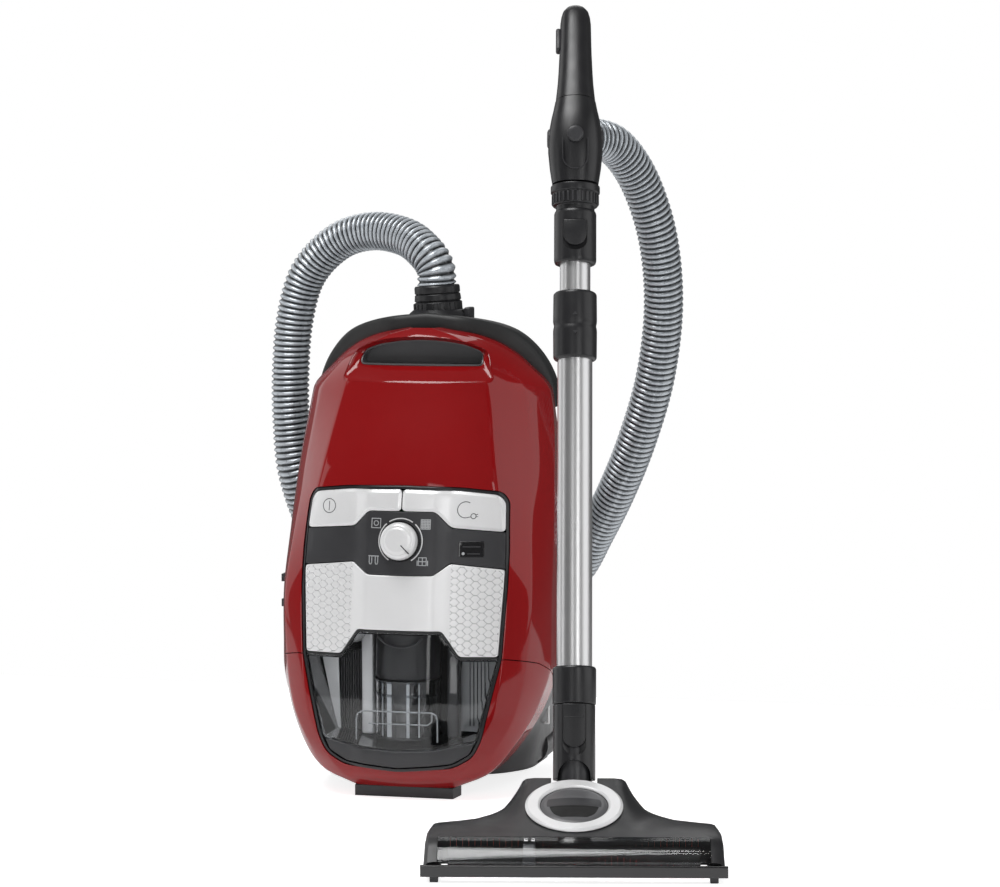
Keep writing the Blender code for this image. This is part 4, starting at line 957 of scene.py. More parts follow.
def underbody_ring(z):
    """The black half's section at height z, from its right rim round the back to its left rim."""
    back_w, back_y = (float(monotone(UNDERBODY_STATIONS[:, 0], UNDERBODY_STATIONS[:, c], z)) for c in (1, 2))
    rim_w, rim_y = (float(body_column(c, z)) for c in (8, 9))
    wide = max(back_w, min(rim_w, back_w + 0.010))
    key = [(rim_w - 0.0004, rim_y + 0.0024), (wide, min(rim_y + 0.034, back_y - 0.040)),
           (back_w, back_y - 0.030), (back_w - 0.010, back_y - 0.008), (back_w - 0.030, back_y),
           (0.0, back_y)]
    half = relaxed(divided(key, 6), 5)
    return [(x, y, z) for x, y in half] + [(-x, y, z) for x, y in half[-2::-1]]


def make_underbody():
    """Black rear half, with ribs and rails on its back and the castor pods."""
    heights = np.concatenate((np.linspace(0.0240, 0.440, 50), np.linspace(0.446, 0.487, 14)))
    body = loft("underbody_tub", [underbody_ring(z) for z in heights], closed=False, caps=False)
    solidify(body, SHELL_WALL)
    apply_all(body)
    lid = prism("lid", [(x * 0.99, y) for x, y, _ in underbody_ring(0.486)], 0.4840, 0.4868, "Z")
    body = joined("underbody_tub", [body, lid])
    hole = turned("hole", [(0.0262, 0.6), (0.0262, 0.40)], Matrix.Translation((0.003, 0.062, 0.0)))
    cut(body, hole)
    finish(body, "canister", "black_plastic", replaces=["underbody"])
    profile = to_axis([(0.0, 0.0920), (0.0190, 0.0920), (0.0225, 0.0880), (0.0225, 0.0)], 0.003)
    for side, label in ((-1, "left"), (1, "right")):
        at = placed((side * CASTOR_X, 0.050, CASTOR_Z), -90, "X")
        finish(turned("castor_pod_" + label, profile, at, 48), "canister", "black_plastic")
    ribs = []
    for k in range(9):
        x = -0.056 + 0.014 * k
        ribs.append(soft_box("rib", (x - 0.0028, 0.1345, 0.150), (x + 0.0028, 0.1375, 0.255), 0.0012))
    finish(joined("exhaust_grille", ribs), "canister", "dark_grey")
    rails = [soft_box("rail", (x - 0.004, 0.1315, 0.070), (x + 0.004, 0.1385, 0.400), 0.002)
             for x in (-0.075, 0.075)]
    finish(joined("slide_rails", rails), "canister", "black_plastic")


def make_rear():
    """Foot plate with the foot under the back, the two small hooks, painted white as a highlight, and the
    three castors.
    """
    half = [(0.050, -0.0400), (0.090, -0.015), (0.108, 0.010), (0.114, 0.030), (0.116, 0.098),
            (0.106, 0.121), (0.086, 0.128)]
    sheet = prism("foot_plate", rounded(both_halves(half), 0.012), 0.0165, 0.0245, "Z")
    rear_foot = soft_box("rear_foot", (-0.0560, 0.0900, 0.0002), (0.0560, 0.1220, 0.0180), 0.002)
    foot_plate = joined("foot_plate", [sheet, rear_foot])
    finish(foot_plate, "canister", "black_plastic", replaces=["rear_plate"])
    # The two small hooks are painted white: a painted highlight for the small glints at the canister's lower
    # sides.
    x, y, low, high = 0.1300, 0.030, 0.0640, 0.0840
    for side, label in ((-1, "left"), (1, "right")):
        stem = soft_box("hook", (side * x - 0.0011, y, low), (side * x + 0.0011, y + 0.003, high), 0.0008)
        toe = soft_box("hook", (side * (x - 0.0016) - 0.0026, y, low - 0.0006),
                       (side * (x - 0.0016) + 0.0026, y + 0.003, low + 0.0016), 0.0007)
        finish(joined("glint_hook_" + label, [stem, toe]), "canister", "glint_white")
    profile = to_axis([(0.0, 0.0190), (0.0120, 0.0175), (0.0185, 0.0120), (0.0205, 0.0040),
                       (0.0205, 0.0)], 0.002)
    tread = soft_profile([(0.0, 0.0040), (0.0070, 0.0040), (0.0085, 0.0054), (0.0118, 0.0052),
                          (0.0118, -0.0052), (0.0085, -0.0054), (0.0070, -0.0040), (0.0, -0.0040)], 0.0012)
    for place, label in (((0.0, 0.1368, 0.395), "front"), ((-CASTOR_X, 0.1425, CASTOR_Z), "left"),
                         ((CASTOR_X, 0.1425, CASTOR_Z), "right")):
        at = placed(place, -90, "X")
        fork = turned("fork", profile, at, 48)
        slot = soft_box("slot", (-0.0062, -0.03, 0.0020), (0.0062, 0.03, 0.03), 0.0005, at)
        cut(fork, slot)
        finish(fork, label + "_castor", "black_plastic", replaces=["castor_fork_" + label])
        fork.name = "castor_body_" + label
        wheel_at = at @ placed((0.0, 0.0055, 0.0165), 90, "Y")
        wheel = turned("castor_roll_" + label, tread, wheel_at, 48)
        finish(wheel, label + "_castor_wheel", "dark_grey", replaces=["castor_wheel_" + label])


def make_panel():
    """Dark frame, silver keys, control strip, dial and its marks."""
    full = both_halves(PANEL_OUTLINE)
    outline = rounded(inset(full, 0.0003), 0.008)
    hole = rounded(inset(full, 0.0035), 0.007)
    frame_item = plate("panel_surround", outline, 0.0, 0.010, edge=0.0012, hole=hole, spacing=0.006)
    finish(frame_item, "canister", "black_plastic", replaces=["panel_frame"])
    strip_outline = rounded(both_halves(STRIP_OUTLINE), 0.0015, 3)
    strip = plate("control_face", strip_outline, 0.0008, 0.005, edge=0.0006, spacing=0.006)
    finish(strip, "canister", "dark_grey", replaces=["control_strip"])
    for side, body, name, node in ((-1, "power_key", "power_key_cap", "power_button"),
                                   (1, "rewind_key", "rewind_key_cap", "cord_rewind_button")):
        key = BUTTON_OUTLINE if side > 0 else mirrored(BUTTON_OUTLINE)
        cap = plate(name, rounded(key, 0.0045, 4), -0.0010, 0.0045, edge=0.0032, drop=0.0016,
                    spacing=0.005, flat_edge=True, angle=24)
        finish(cap, body, "silver_plastic", replaces=[node])
    power = ((arc_points((-0.0820, 0.3045), 0.0072, 0, 360, 40), 0.0007),
             ([(-0.0820, 0.3092), (-0.0820, 0.2998)], 0.0007))
    cord = ((arc_points((0.0660, 0.3040), 0.0082, 60, 290, 30), 0.0007),
            ([(0.0688, 0.2963), (0.0715, 0.2968)], 0.0007),
            (arc_points((0.0742, 0.2975), 0.0026, 0, 360, 20), 0.0007),
            ([(0.0762, 0.2987), (0.0786, 0.2995)], 0.0006),
            ([(0.0762, 0.2965), (0.0786, 0.2972)], 0.0006))
    for lines, name, body in ((power, "power_sign", "power_key"), (cord, "cord_sign", "rewind_key")):
        strokes = [stroke for points, width in lines for stroke in line_mark(points, width)]
        finish(on_surface(strokes, name, 0.00115, -0.0006), body, "print_dark")
    make_strip_marks()
    make_dial()


SIGN_LINE = 0.0008
BOLD_LINE = 0.0009


def box_outline(x, z, half_x, half_z):
    """The four corners of an upright box about a center."""
    return [(x - half_x, z - half_z), (x + half_x, z - half_z), (x + half_x, z + half_z),
            (x - half_x, z + half_z)]


def square_mark(x, z, half):
    return line_mark(box_outline(x, z, half, half), SIGN_LINE, closed=True)


def make_strip_marks():
    """Grey signs round the dial (socket, carpet, curtain, armchair) and the indicator window."""
    strokes = square_mark(-0.0268, 0.2892, 0.0048)
    strokes += line_mark(arc_points((-0.0268, 0.2892), 0.0024, 0, 360, 20), BOLD_LINE)
    strokes += square_mark(0.0262, 0.2890, 0.0048)
    for k in range(5):
        u = 0.0230 + 0.0016 * k
        strokes += line_mark([(u, 0.2844), (u, 0.2936)], SIGN_LINE)
        v = 0.2858 + 0.0016 * k
        strokes += line_mark([(0.0216, v), (0.0308, v)], SIGN_LINE)
    for x in (-0.0318, -0.0252):
        hem = [(x - 0.0014, 0.2545), (x - 0.0014, 0.2490), (x - 0.0008, 0.2470)]
        hem += [(x + 0.0008, 0.2470), (x + 0.0014, 0.2490), (x + 0.0014, 0.2545)]
        strokes += line_mark(hem, SIGN_LINE)
    strokes += line_mark([(-0.0340, 0.2553), (-0.0230, 0.2553)], BOLD_LINE)
    strokes += square_mark(0.0240, 0.2508, 0.0040)
    strokes += line_mark([(0.0200, 0.2508), (0.0280, 0.2508)], BOLD_LINE)
    strokes += line_mark([(0.0240, 0.2468), (0.0240, 0.2548)], BOLD_LINE)
    for x in (0.0186, 0.0294):
        strokes += line_mark([(x, 0.2468), (x, 0.2515)], 0.0011)
    marks = on_surface(strokes, "dial_signs", -0.0006, 0.0012)
    finish(marks, "canister", "print_and_highlight_grey")
    scale = []
    center = (DIAL_CENTER.x, DIAL_CENTER.z)
    for start, end in ((-58, 48), (58, 122), (132, 238)):
        scale += line_mark(arc_points(center, 0.0232, start, end, 20), 0.0012)
    arcs = on_surface(scale, "dial_scale", -0.0006, 0.0012)
    finish(arcs, "canister", "silver_plastic")
    low_x, high_x, low_z, high_z = INDICATOR_BOX
    window = rounded([(low_x, low_z), (high_x, low_z), (high_x, high_z), (low_x, high_z)], 0.0025)
    lens = plate("indicator_lens", window, 0.0002, 0.004, edge=0.0006, spacing=0.004)
    finish(lens, "canister", "black_gloss", replaces=["indicator_window"])
    lamp = on_surface([arc_points((0.0650, 0.2590), 0.0015, 0, 340, 18)], "indicator_lamp", 0.0001, 0.0008)
    finish(lamp, "canister", "print_and_highlight_grey")
    for index, (x, z, wide) in enumerate(((0.0732, 0.2660, 0.0090), (0.0755, 0.2588, 0.0065))):
        bar = box_outline(x, z, wide, 0.0006)
        item = on_surface([bar], "indicator_line_%d" % index, 0.00005, 0.0008)
        finish(item, "canister", "dark_grey")


def make_dial():
    """Silver selector with a recessed rim and a pointer."""
    tilt = Matrix.Translation(DIAL_CENTER) @ Matrix.Rotation(math.radians(90) - DIAL_TILT, 4, "X")
    profile = soft_profile([(0.0, 0.0125), (0.0120, 0.0121), (0.0145, 0.0108), (0.0160, 0.0112),
                            (0.0185, 0.0090), (0.0197, 0.0045), (0.0197, 0.0010)], 0.0010)
    profile += [(0.0040, 0.0010), (0.0040, -0.0080), (0.0, -0.0080)]
    knob = turned("selector_knob", profile, tilt, 96)
    finish(knob, "dial", "silver_plastic", replaces=["selector_dial"])
    spin = tilt @ Matrix.Rotation(math.radians(-45), 4, "Z")
    pointer = soft_box("selector_pointer", (0.0060, -0.0006, 0.0100), (0.0186, 0.0006, 0.0125), 0.0004,
                       spin)
    finish(pointer, "dial", "print_dark")
    collar = [(0.0212, 0.0006), (0.0212, -0.0030), (0.0200, -0.0030), (0.0200, 0.0006)]
    finish(turned("selector_collar", collar, tilt, 96, ring=True), "canister", "black_gloss")


HEX_WIDE = 0.0143
HEX_TALL = 0.0036
HEX_STRETCH = 1.4
HEX_GROOVE = 0.0013


def honeycomb(x, z):
    """Depth of a pattern of flat hexagons: staggered rows with grooves between them."""
    best = np.full(np.shape(x), 9.0)
    second = np.full(np.shape(x), 9.0)
    u = np.abs(x) / HEX_WIDE
    v = z / HEX_TALL
    row0 = np.floor(v)
    for dr in (-2, -1, 0, 1, 2, 3):
        row = row0 + dr
        shift = np.where(np.mod(row, 2) == 0, 0.0, 0.5)
        col0 = np.floor(u - shift)
        for dc in (-1, 0, 1, 2):
            du = u - shift - (col0 + dc)
            dv = v - row
            away = np.sqrt((du * HEX_WIDE) ** 2 + (dv * HEX_TALL * HEX_STRETCH) ** 2)
            closer = away < best
            second = np.where(closer, best, np.minimum(second, away))
            best = np.where(closer, away, best)
    gap = second - best
    depth = np.clip((HEX_GROOVE - gap) / HEX_GROOVE, 0.0, 1.0)
    return np.where(np.abs(x) > SPINE_FOOT + 0.0015, depth * RELIEF_DEPTH, 0.0)


def make_cover():
    """Silver cover of the dust container, the seal under it and the sill."""
    right = [(0.0, 0.2354), (0.0350, 0.2355), (0.0520, 0.2480), (0.1074, 0.2420), (0.1068, 0.2250),
             (0.1030, 0.1527), (0.0636, 0.1527), (0.0452, 0.1791), (0.0, 0.1791)]
    outline = rounded(both_halves(right), 0.0035, 4)
    cover = plate("cover_skin", outline, 0.0002, 0.0050, edge=0.0009, spacing=0.004, relief=honeycomb,
                  fine=(0.00085, SPINE_FOOT), angle=20)
    finish(cover, "dust_container", "silver_pattern",
           replaces=["cover_plate_left", "cover_plate_center", "cover_plate_right"])
    half = [(0.0, 0.1787), (0.0448, 0.1787), (0.0633, 0.1522), (0.1030, 0.1522), (0.1026, 0.1499),
            (0.0627, 0.1499), (0.0442, 0.1764), (0.0, 0.1764)]
    outline = half + mirrored(reversed(half[4:7])) + mirrored(reversed(half[1:4]))
    seal = plate("cover_gasket", outline, 0.0006, 0.0060, edge=0.0004, spacing=0.004)
    finish(seal, "dust_container", "black_rubber", replaces=["cover_seal"])
    ledge = rounded(both_halves(SILL_OUTLINE), 0.002, 3)
    sill = plate("panel_ledge", ledge, 0.0010, 0.010, edge=0.0010, spacing=0.005)
    finish(sill, "canister", "dark_grey", replaces=["panel_sill"])


def make_bowl():
    """Clear dust bowl: its window, walls and back, and the fittings seen through it."""
    outline = rounded(both_halves(BOWL_OUTLINE), 0.003, 3)
    front = plate("bowl_window", outline, 0.0010, 0.0035, edge=0.0008, spacing=0.005)
    finish(front, "dust_container", "clear_plastic")
    points = resampled(outline, 0.006)
    wall = []
    for amount, depth in ((0.0002, 0.0037), (0.0002, None), (0.0020, None), (0.0020, 0.0037)):
        ring = inset(points, amount)
        wall.append([(x, BOWL_BACK_Y if depth is None else float(panel_y(x, z)) + depth, z)
                     for x, z in ring])
    wall.append(wall[0])
    sides = loft("bowl_walls", wall, caps=False)
    finish(sides, "dust_container", "smoked_clear")
    back = prism("bowl_back", inset(points, 0.0022), BOWL_BACK_Y - 0.0030, BOWL_BACK_Y - 0.0002)
    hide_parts("dust_bowl")
    finish(back, "dust_container", "pit_black")
    make_cyclone()
    make_bowl_mouldings()
    make_bowl_linings()


CYCLONE_Y = -0.0620
SCREEN_BAR_RADIUS = 0.0300


def make_cyclone():
    """The cyclone's tube, its clear screen with three rims, the cone, and the bars, whose light grey is
    partly a painted highlight.
    """
    axis = Matrix.Translation((0.0, CYCLONE_Y, 0.0))
    profile = to_axis([(0.0, 0.1240), (0.0330, 0.1240), (0.0345, 0.1290), (0.0335, 0.1735)], 0.003)
    core = turned("cyclone_body", profile, axis, 80)
    finish(core, "dust_container", "black_plastic", replaces=["cyclone_core"])
    profile = [(0.0340, 0.0620), (0.0340, 0.1240), (0.0322, 0.1240), (0.0322, 0.0620)]
    screen = turned("inner_cylinder", profile, axis, 80, ring=True)
    finish(screen, "dust_container", "clear_plastic", replaces=["inner_screen"])
    for index, (z, radius) in enumerate(((0.0632, 0.0352), (0.1080, 0.0348), (0.1222, 0.0352))):
        profile = soft_profile([(radius, z + 0.0012), (radius, z - 0.0012), (radius - 0.0035, z - 0.0012),
                                (radius - 0.0035, z + 0.0012), (radius, z + 0.0012)], 0.0006)
        rim = turned("screen_rim_%d" % index, profile, axis, 72)
        finish(rim, "dust_container", "smoked_clear")
    profile = to_axis([(0.0, 0.0600), (0.0130, 0.0600), (0.0150, 0.0900), (0.0250, 0.1235)], 0.004)
    finish(turned("cyclone_cone", profile, axis, 64), "dust_container", "black_gloss")
    # Light grey bars on the clear screen: partly real bars, partly a painted highlight standing in for bright
    # lines on the screen.
    bars = []
    for degrees, half in ((243, 0.0024), (283, 0.0016), (305, 0.0007), (222, 0.0007)):
        angle = math.radians(degrees)
        x = SCREEN_BAR_RADIUS * math.cos(angle)
        y = CYCLONE_Y + SCREEN_BAR_RADIUS * math.sin(angle)
        bars.append(soft_box("bar", (x - half, y - 0.0007, 0.0640), (x + half, y + 0.0007, 0.1220), 0.0003))
    finish(joined("screen_bars_and_highlights", bars), "dust_container", "print_and_highlight_grey")


def make_bowl_mouldings():
    """Raised lines of the clear window and the thumb rest above it."""
    outline = [(-0.0460, 0.0625), (-0.0460, 0.0850), (-0.0440, 0.0905), (-0.0390, 0.0930), (0.0345, 0.0930),
               (0.0390, 0.0905), (0.0405, 0.0850), (0.0405, 0.0625)]
    bar = [(-0.0330, 0.0800), (0.0300, 0.0800), (0.0345, 0.0840), (0.0345, 0.0930)]
    for name, line, radius in (("moulded_outline", outline, 0.0009), ("moulded_bar", bar, 0.0007)):
        finish(joined(name, rods(line, -0.1010, radius)), "dust_container", "print_clear")
    turns = [math.radians(degrees) for degrees in range(-60, 61, 8)]
    arc = [(0.0270 * math.sin(a), 0.1800 - 0.0200 * math.cos(a)) for a in turns]
    finish(joined("thumb_arc", rods(arc, -0.0962, 0.0011)), "dust_container", "dark_grey")


def make_bowl_linings():
    """Posts, linings, pleats and flutes at the bowl's two sides."""
    left_post = soft_box("silver_post", (-0.0530, -0.0560, 0.0610), (-0.0400, -0.0420, 0.1730), 0.002)
    finish(left_post, "dust_container", "silver_plastic")
    right_post = soft_box("dark_post", (0.0400, -0.0560, 0.0600), (0.0520, -0.0420, 0.1730), 0.002)
    finish(right_post, "dust_container", "dark_grey")
    left = [(-0.0985, 0.1480), (-0.0800, 0.1480), (-0.0775, 0.0640), (-0.0815, 0.0640)]
    right = [(0.0530, 0.1480), (0.0960, 0.1480), (0.0800, 0.0640), (0.0400, 0.0640)]
    for label, outline, low, high, material in (("left", left, -0.0500, -0.0480, "silver_plastic"),
                                                ("right", right, -0.0360, -0.0340, "print_and_highlight_grey")):
        lining = prism("side_lining_" + label, outline, low, high)
        finish(lining, "dust_container", material)
    pleats = []
    for k in range(9):
        x = -0.0565 - 0.0026 * k
        pleats.append(soft_box("pleat", (x - 0.0008, -0.0460, 0.0640), (x + 0.0008, -0.0330, 0.1480), 0.0006))
    flutes = []
    for k in range(6):
        x = 0.0600 + 0.0040 * k
        low = 0.0700 + max(0.0, x - 0.0740) * 5.0
        flutes.append(soft_box("flute", (x - 0.0004, -0.0375, low), (x + 0.0004, -0.0355, 0.1480), 0.0003))
    finish(joined("bowl_pleats", pleats), "dust_container", "dark_grey")
    finish(joined("bowl_flutes", flutes), "dust_container", "liner_grey")


def rods(points, y, radius):
    """Round rods along a line of (x, z) points at one depth."""
    items = []
    for a, b in zip(points, points[1:]):
        start = Vector((a[0], y, a[1]))
        along = Vector((b[0], y, b[1])) - start
        tip = radius * 0.4
        ends = ((0.0, -tip), (radius, 0.0), (radius, along.length), (0.0, along.length + tip))
        items.append(turned("rod", ends, along_line(start, along), 10))
    return items


def make_opening_wall():
    """Dark pocket that the bowl slides into, seen past its edges."""
    outline = resampled(rounded(inset(both_halves(PANEL_OUTLINE), 0.0010), 0.007), 0.01)
    rings = [[(x, float(panel_y(x, z)) + 0.0100, z) for x, z in outline],
             [(x, -0.0140, z) for x, z in outline]]
    pocket = loft("panel_pocket", rings, caps=False)
    solidify(pocket, 0.0006)
    apply_all(pocket)
    floor = prism("pocket_floor", outline, -0.0145, -0.0135)
    finish(joined("panel_pocket", [pocket, floor]), "canister", "pit_black")


TAB_HALF_ANGLE = 0.5         # the ribs stop short of the release tab


def make_connector():
    """Turned connector on the hose end of the canister, with a ribbed collar."""
    base = Matrix.Translation(CONNECTOR_BASE)
    flange = soft_profile([(0.0, 0.0180), (0.0262, 0.0170), (0.0330, 0.0110), (0.0345, 0.0050),
                           (0.0345, 0.0025)], 0.002) + [(0.0240, 0.0025), (0.0240, -0.0200), (0.0, -0.0200)]
    lower = turned("connector_flange", flange, base, 72)
    lean = base @ Matrix.Rotation(CONNECTOR_LEAN, 4, "Y")
    cuff = to_axis([(0.0, 0.0420), (0.0235, 0.0420), (0.0245, 0.0400), (0.0245, 0.0340),
                    (0.0228, 0.0332), (0.0245, 0.0324), (0.0252, 0.0260), (0.0234, 0.0250),
                    (0.0256, 0.0240), (0.0262, 0.0120)], 0.0007, 3)
    upper = turned("connector_cuff", cuff, lean, 72)
    seat = soft_box("seat", (0.0266, -0.0100, 0.0050), (0.045, 0.0100, 0.030), 0.0012, base)
    cut(lower, seat)
    whole = joined("connector_body", [lower, upper])
    finish(whole, "canister", "black_plastic", replaces=["hose_connector"])
    grips = []
    for k in range(24):
        angle = math.tau * k / 24
        if min(angle, math.tau - angle) < TAB_HALF_ANGLE:
            continue
        at = lean @ Matrix.Rotation(angle, 4, "Z")
        grips.append(soft_box("grip", (0.0245, -0.0012, 0.0135), (0.0268, 0.0012, 0.0235), 0.0006, at))
    finish(joined("connector_ribs", grips), "canister", "black_plastic")
    tab = soft_box("release_tab", (0.0290, -0.0096, 0.0055), (0.0366, 0.0096, 0.0190), 0.0018, base)
    finish(tab, "connector_tab", "dark_grey", replaces=["connector_release"])


def wand_box(name, low, high, edge=0.0012):
    return soft_box(name, low, high, edge, WAND_FRAME)


def u_mark(half, high, low, y, line=0.0009):
    """A raised U-shaped line on the front of the wand, with a round lower end."""
    middle = low + half
    points = [(-half, high)] + arc_points((0.0, middle), half, 180, 360, 18) + [(half, high)]
    return [prism("mark", line_mark([a, b], line)[0], y, y + 0.0014, at=WAND_FRAME)
            for a, b in zip(points, points[1:])]


def u_key(half, high, low, near, far):
    """A press key with a round lower end and softened edges."""
    outline = [(-half, high)] + arc_points((0.0, low + half), half, 180, 360, 16) + [(half, high)]
    key = prism("key", outline, near, far, at=WAND_FRAME)
    mod = key.modifiers.new("Edge", "BEVEL")
    mod.width = 0.0008
    mod.segments = 3
    return apply_all(key)


def make_lower_wand():
    """Socket that the neck turns in, its release key, the collar and the lower tube."""
    profile = soft_profile([(0.0178, 0.0930), (0.0205, 0.0930), (0.0205, 0.0200), (0.0178, 0.0200)], 0.0008)
    socket = turned("socket_sleeve", profile, WAND_FRAME, 80, ring=True)
    arch = [(-0.0160, -0.001), (-0.0160, 0.018)] + arc_points((0.0, 0.0225), 0.0160, 165, 15, 16)
    arch += [(0.0160, 0.018), (0.0160, -0.001)]
    gate = prism("gate", arch, -0.05, 0.05, at=WAND_FRAME)
    seat = u_key(0.0118, 0.0945, 0.0425, -0.0300, -0.0170)
    cut(socket, gate, seat)
    finish(socket, "canister", "black_plastic", replaces=["head_socket"])
    key = u_key(0.0108, 0.0925, 0.0502, -0.0218, -0.0197)
    line = wand_box("line", (-0.0104, -0.0221, 0.0788), (0.0104, -0.0214, 0.0798), 0.0003)
    finish(joined("head_key_cap", [key, line]), "head_key", "black_plastic",
           replaces=["head_release_button"])
    collar = soft_profile([(0.0178, 0.1300), (0.0200, 0.1300), (0.0212, 0.1280), (0.0212, 0.0934),
                           (0.0178, 0.0934)], 0.0012)
    finish(turned("lower_collar", collar, WAND_FRAME, 80, ring=True), "canister", "black_plastic",
           replaces=["bottom_collar"])
    profile = [(0.0, 0.0965), (0.01725, 0.0965), (0.01725, 0.4980), (0.0155, 0.4980), (0.0155, 0.4200),
               (0.0, 0.4200)]
    tube = turned("lower_pipe", profile, WAND_FRAME, 96)
    finish(tube, "canister", "steel_tube", replaces=["lower_tube"])


def make_upper_wand():
    """Telescoping tube, its sleeve and the collar under the handle."""
    profile = [(0.0, 0.1500), (0.01515, 0.1500), (0.01515, 0.5710), (0.0, 0.5710)]
    tube = turned("upper_pipe", profile, WAND_FRAME, 96)
    finish(tube, "upper_wand", "steel_tube", replaces=["upper_tube"])
    profile = soft_profile([(0.0178, 0.5020), (0.0195, 0.5020), (0.0215, 0.5000), (0.02175, 0.4720),
                            (0.0208, 0.4680), (0.02175, 0.4640), (0.0215, 0.4360), (0.0200, 0.4340),
                            (0.0178, 0.4340)], 0.0016)
    finish(turned("sleeve_body", profile, WAND_FRAME, 96, ring=True), "sleeve", "black_plastic",
           replaces=["telescope_sleeve"])
    arrows = []
    for low, point in ((0.4760, 0.0032), (0.4600, -0.0032)):
        strokes = [(-0.0026, low), (0.0026, low), (0.0, low + point)]
        arrows.append(prism("arrow", strokes, -0.0222, -0.0205, at=WAND_FRAME))
    finish(joined("sleeve_arrows", arrows), "sleeve", "dark_grey")
    collar = soft_profile([(0.0155, 0.5850), (0.0195, 0.5850), (0.0210, 0.5820), (0.0210, 0.5340),
                           (0.0200, 0.5310), (0.0155, 0.5310)], 0.0012)
    ring = turned("upper_collar", collar, WAND_FRAME, 80, ring=True)
    seat = u_key(0.0124, 0.5726, 0.5415, -0.0300, -0.0172)
    cut(ring, seat)
    finish(ring, "upper_wand", "black_plastic", replaces=["top_collar"])
    tab = u_key(0.0114, 0.5720, 0.5462, -0.0222, -0.0197)
    finish(tab, "wand_tab", "black_plastic", replaces=["wand_release_tab"])
    tab.name = "wand_key"


HUB_SECTIONS = (
    (0.0000, 0.6120, 0.0230, 0.0230, 0.00), (0.0000, 0.6200, 0.0243, 0.0240, 0.00),
    (0.0000, 0.6280, 0.0255, 0.0250, 0.00), (0.0005, 0.6370, 0.0264, 0.0260, -0.015),
    (0.0010, 0.6450, 0.0272, 0.0270, -0.030), (0.0015, 0.6540, 0.0272, 0.0272, -0.045),
    (0.0020, 0.6620, 0.0268, 0.0270, -0.060), (0.0025, 0.6710, 0.0256, 0.0257, -0.090),
    (0.0030, 0.6800, 0.0240, 0.0240, -0.120), (0.0045, 0.6885, 0.0221, 0.0218, -0.160),
    (0.0060, 0.6970, 0.0205, 0.0200, -0.200))
GRIP_SECTIONS = (
    (0.0062, 0.6976, 0.0200, 0.0195, -0.22), (0.0090, 0.7075, 0.0190, 0.0187, -0.27),
    (0.0120, 0.7180, 0.0180, 0.0178, -0.32), (0.0165, 0.7300, 0.0173, 0.0174, -0.37),
    (0.0210, 0.7420, 0.0168, 0.0172, -0.40), (0.0260, 0.7540, 0.0163, 0.0170, -0.415),
    (0.0310, 0.7660, 0.0160, 0.0168, -0.42), (0.0360, 0.7775, 0.0158, 0.0167, -0.42),
    (0.0410, 0.7890, 0.0156, 0.0165, -0.42), (0.0440, 0.7960, 0.0148, 0.0158, -0.42),
    (0.0460, 0.8010, 0.0135, 0.0145, -0.42), (0.0473, 0.8045, 0.0110, 0.0122, -0.42),
    (0.0480, 0.8070, 0.0080, 0.0090, -0.42))


def tilted_ring(y, z, half_x, half_y, tilt, count=64, power=0.88):
    """A rounded section across the handle."""
    ring = []
    for k in range(count):
        angle = math.tau * k / count
        c = math.cos(angle)
        s = math.sin(angle)
        u = half_x * math.copysign(abs(c) ** power, c)
        v = half_y * math.copysign(abs(s) ** power, s)
        ring.append((u, y + v * math.cos(tilt), z + v * math.sin(tilt)))
    return ring


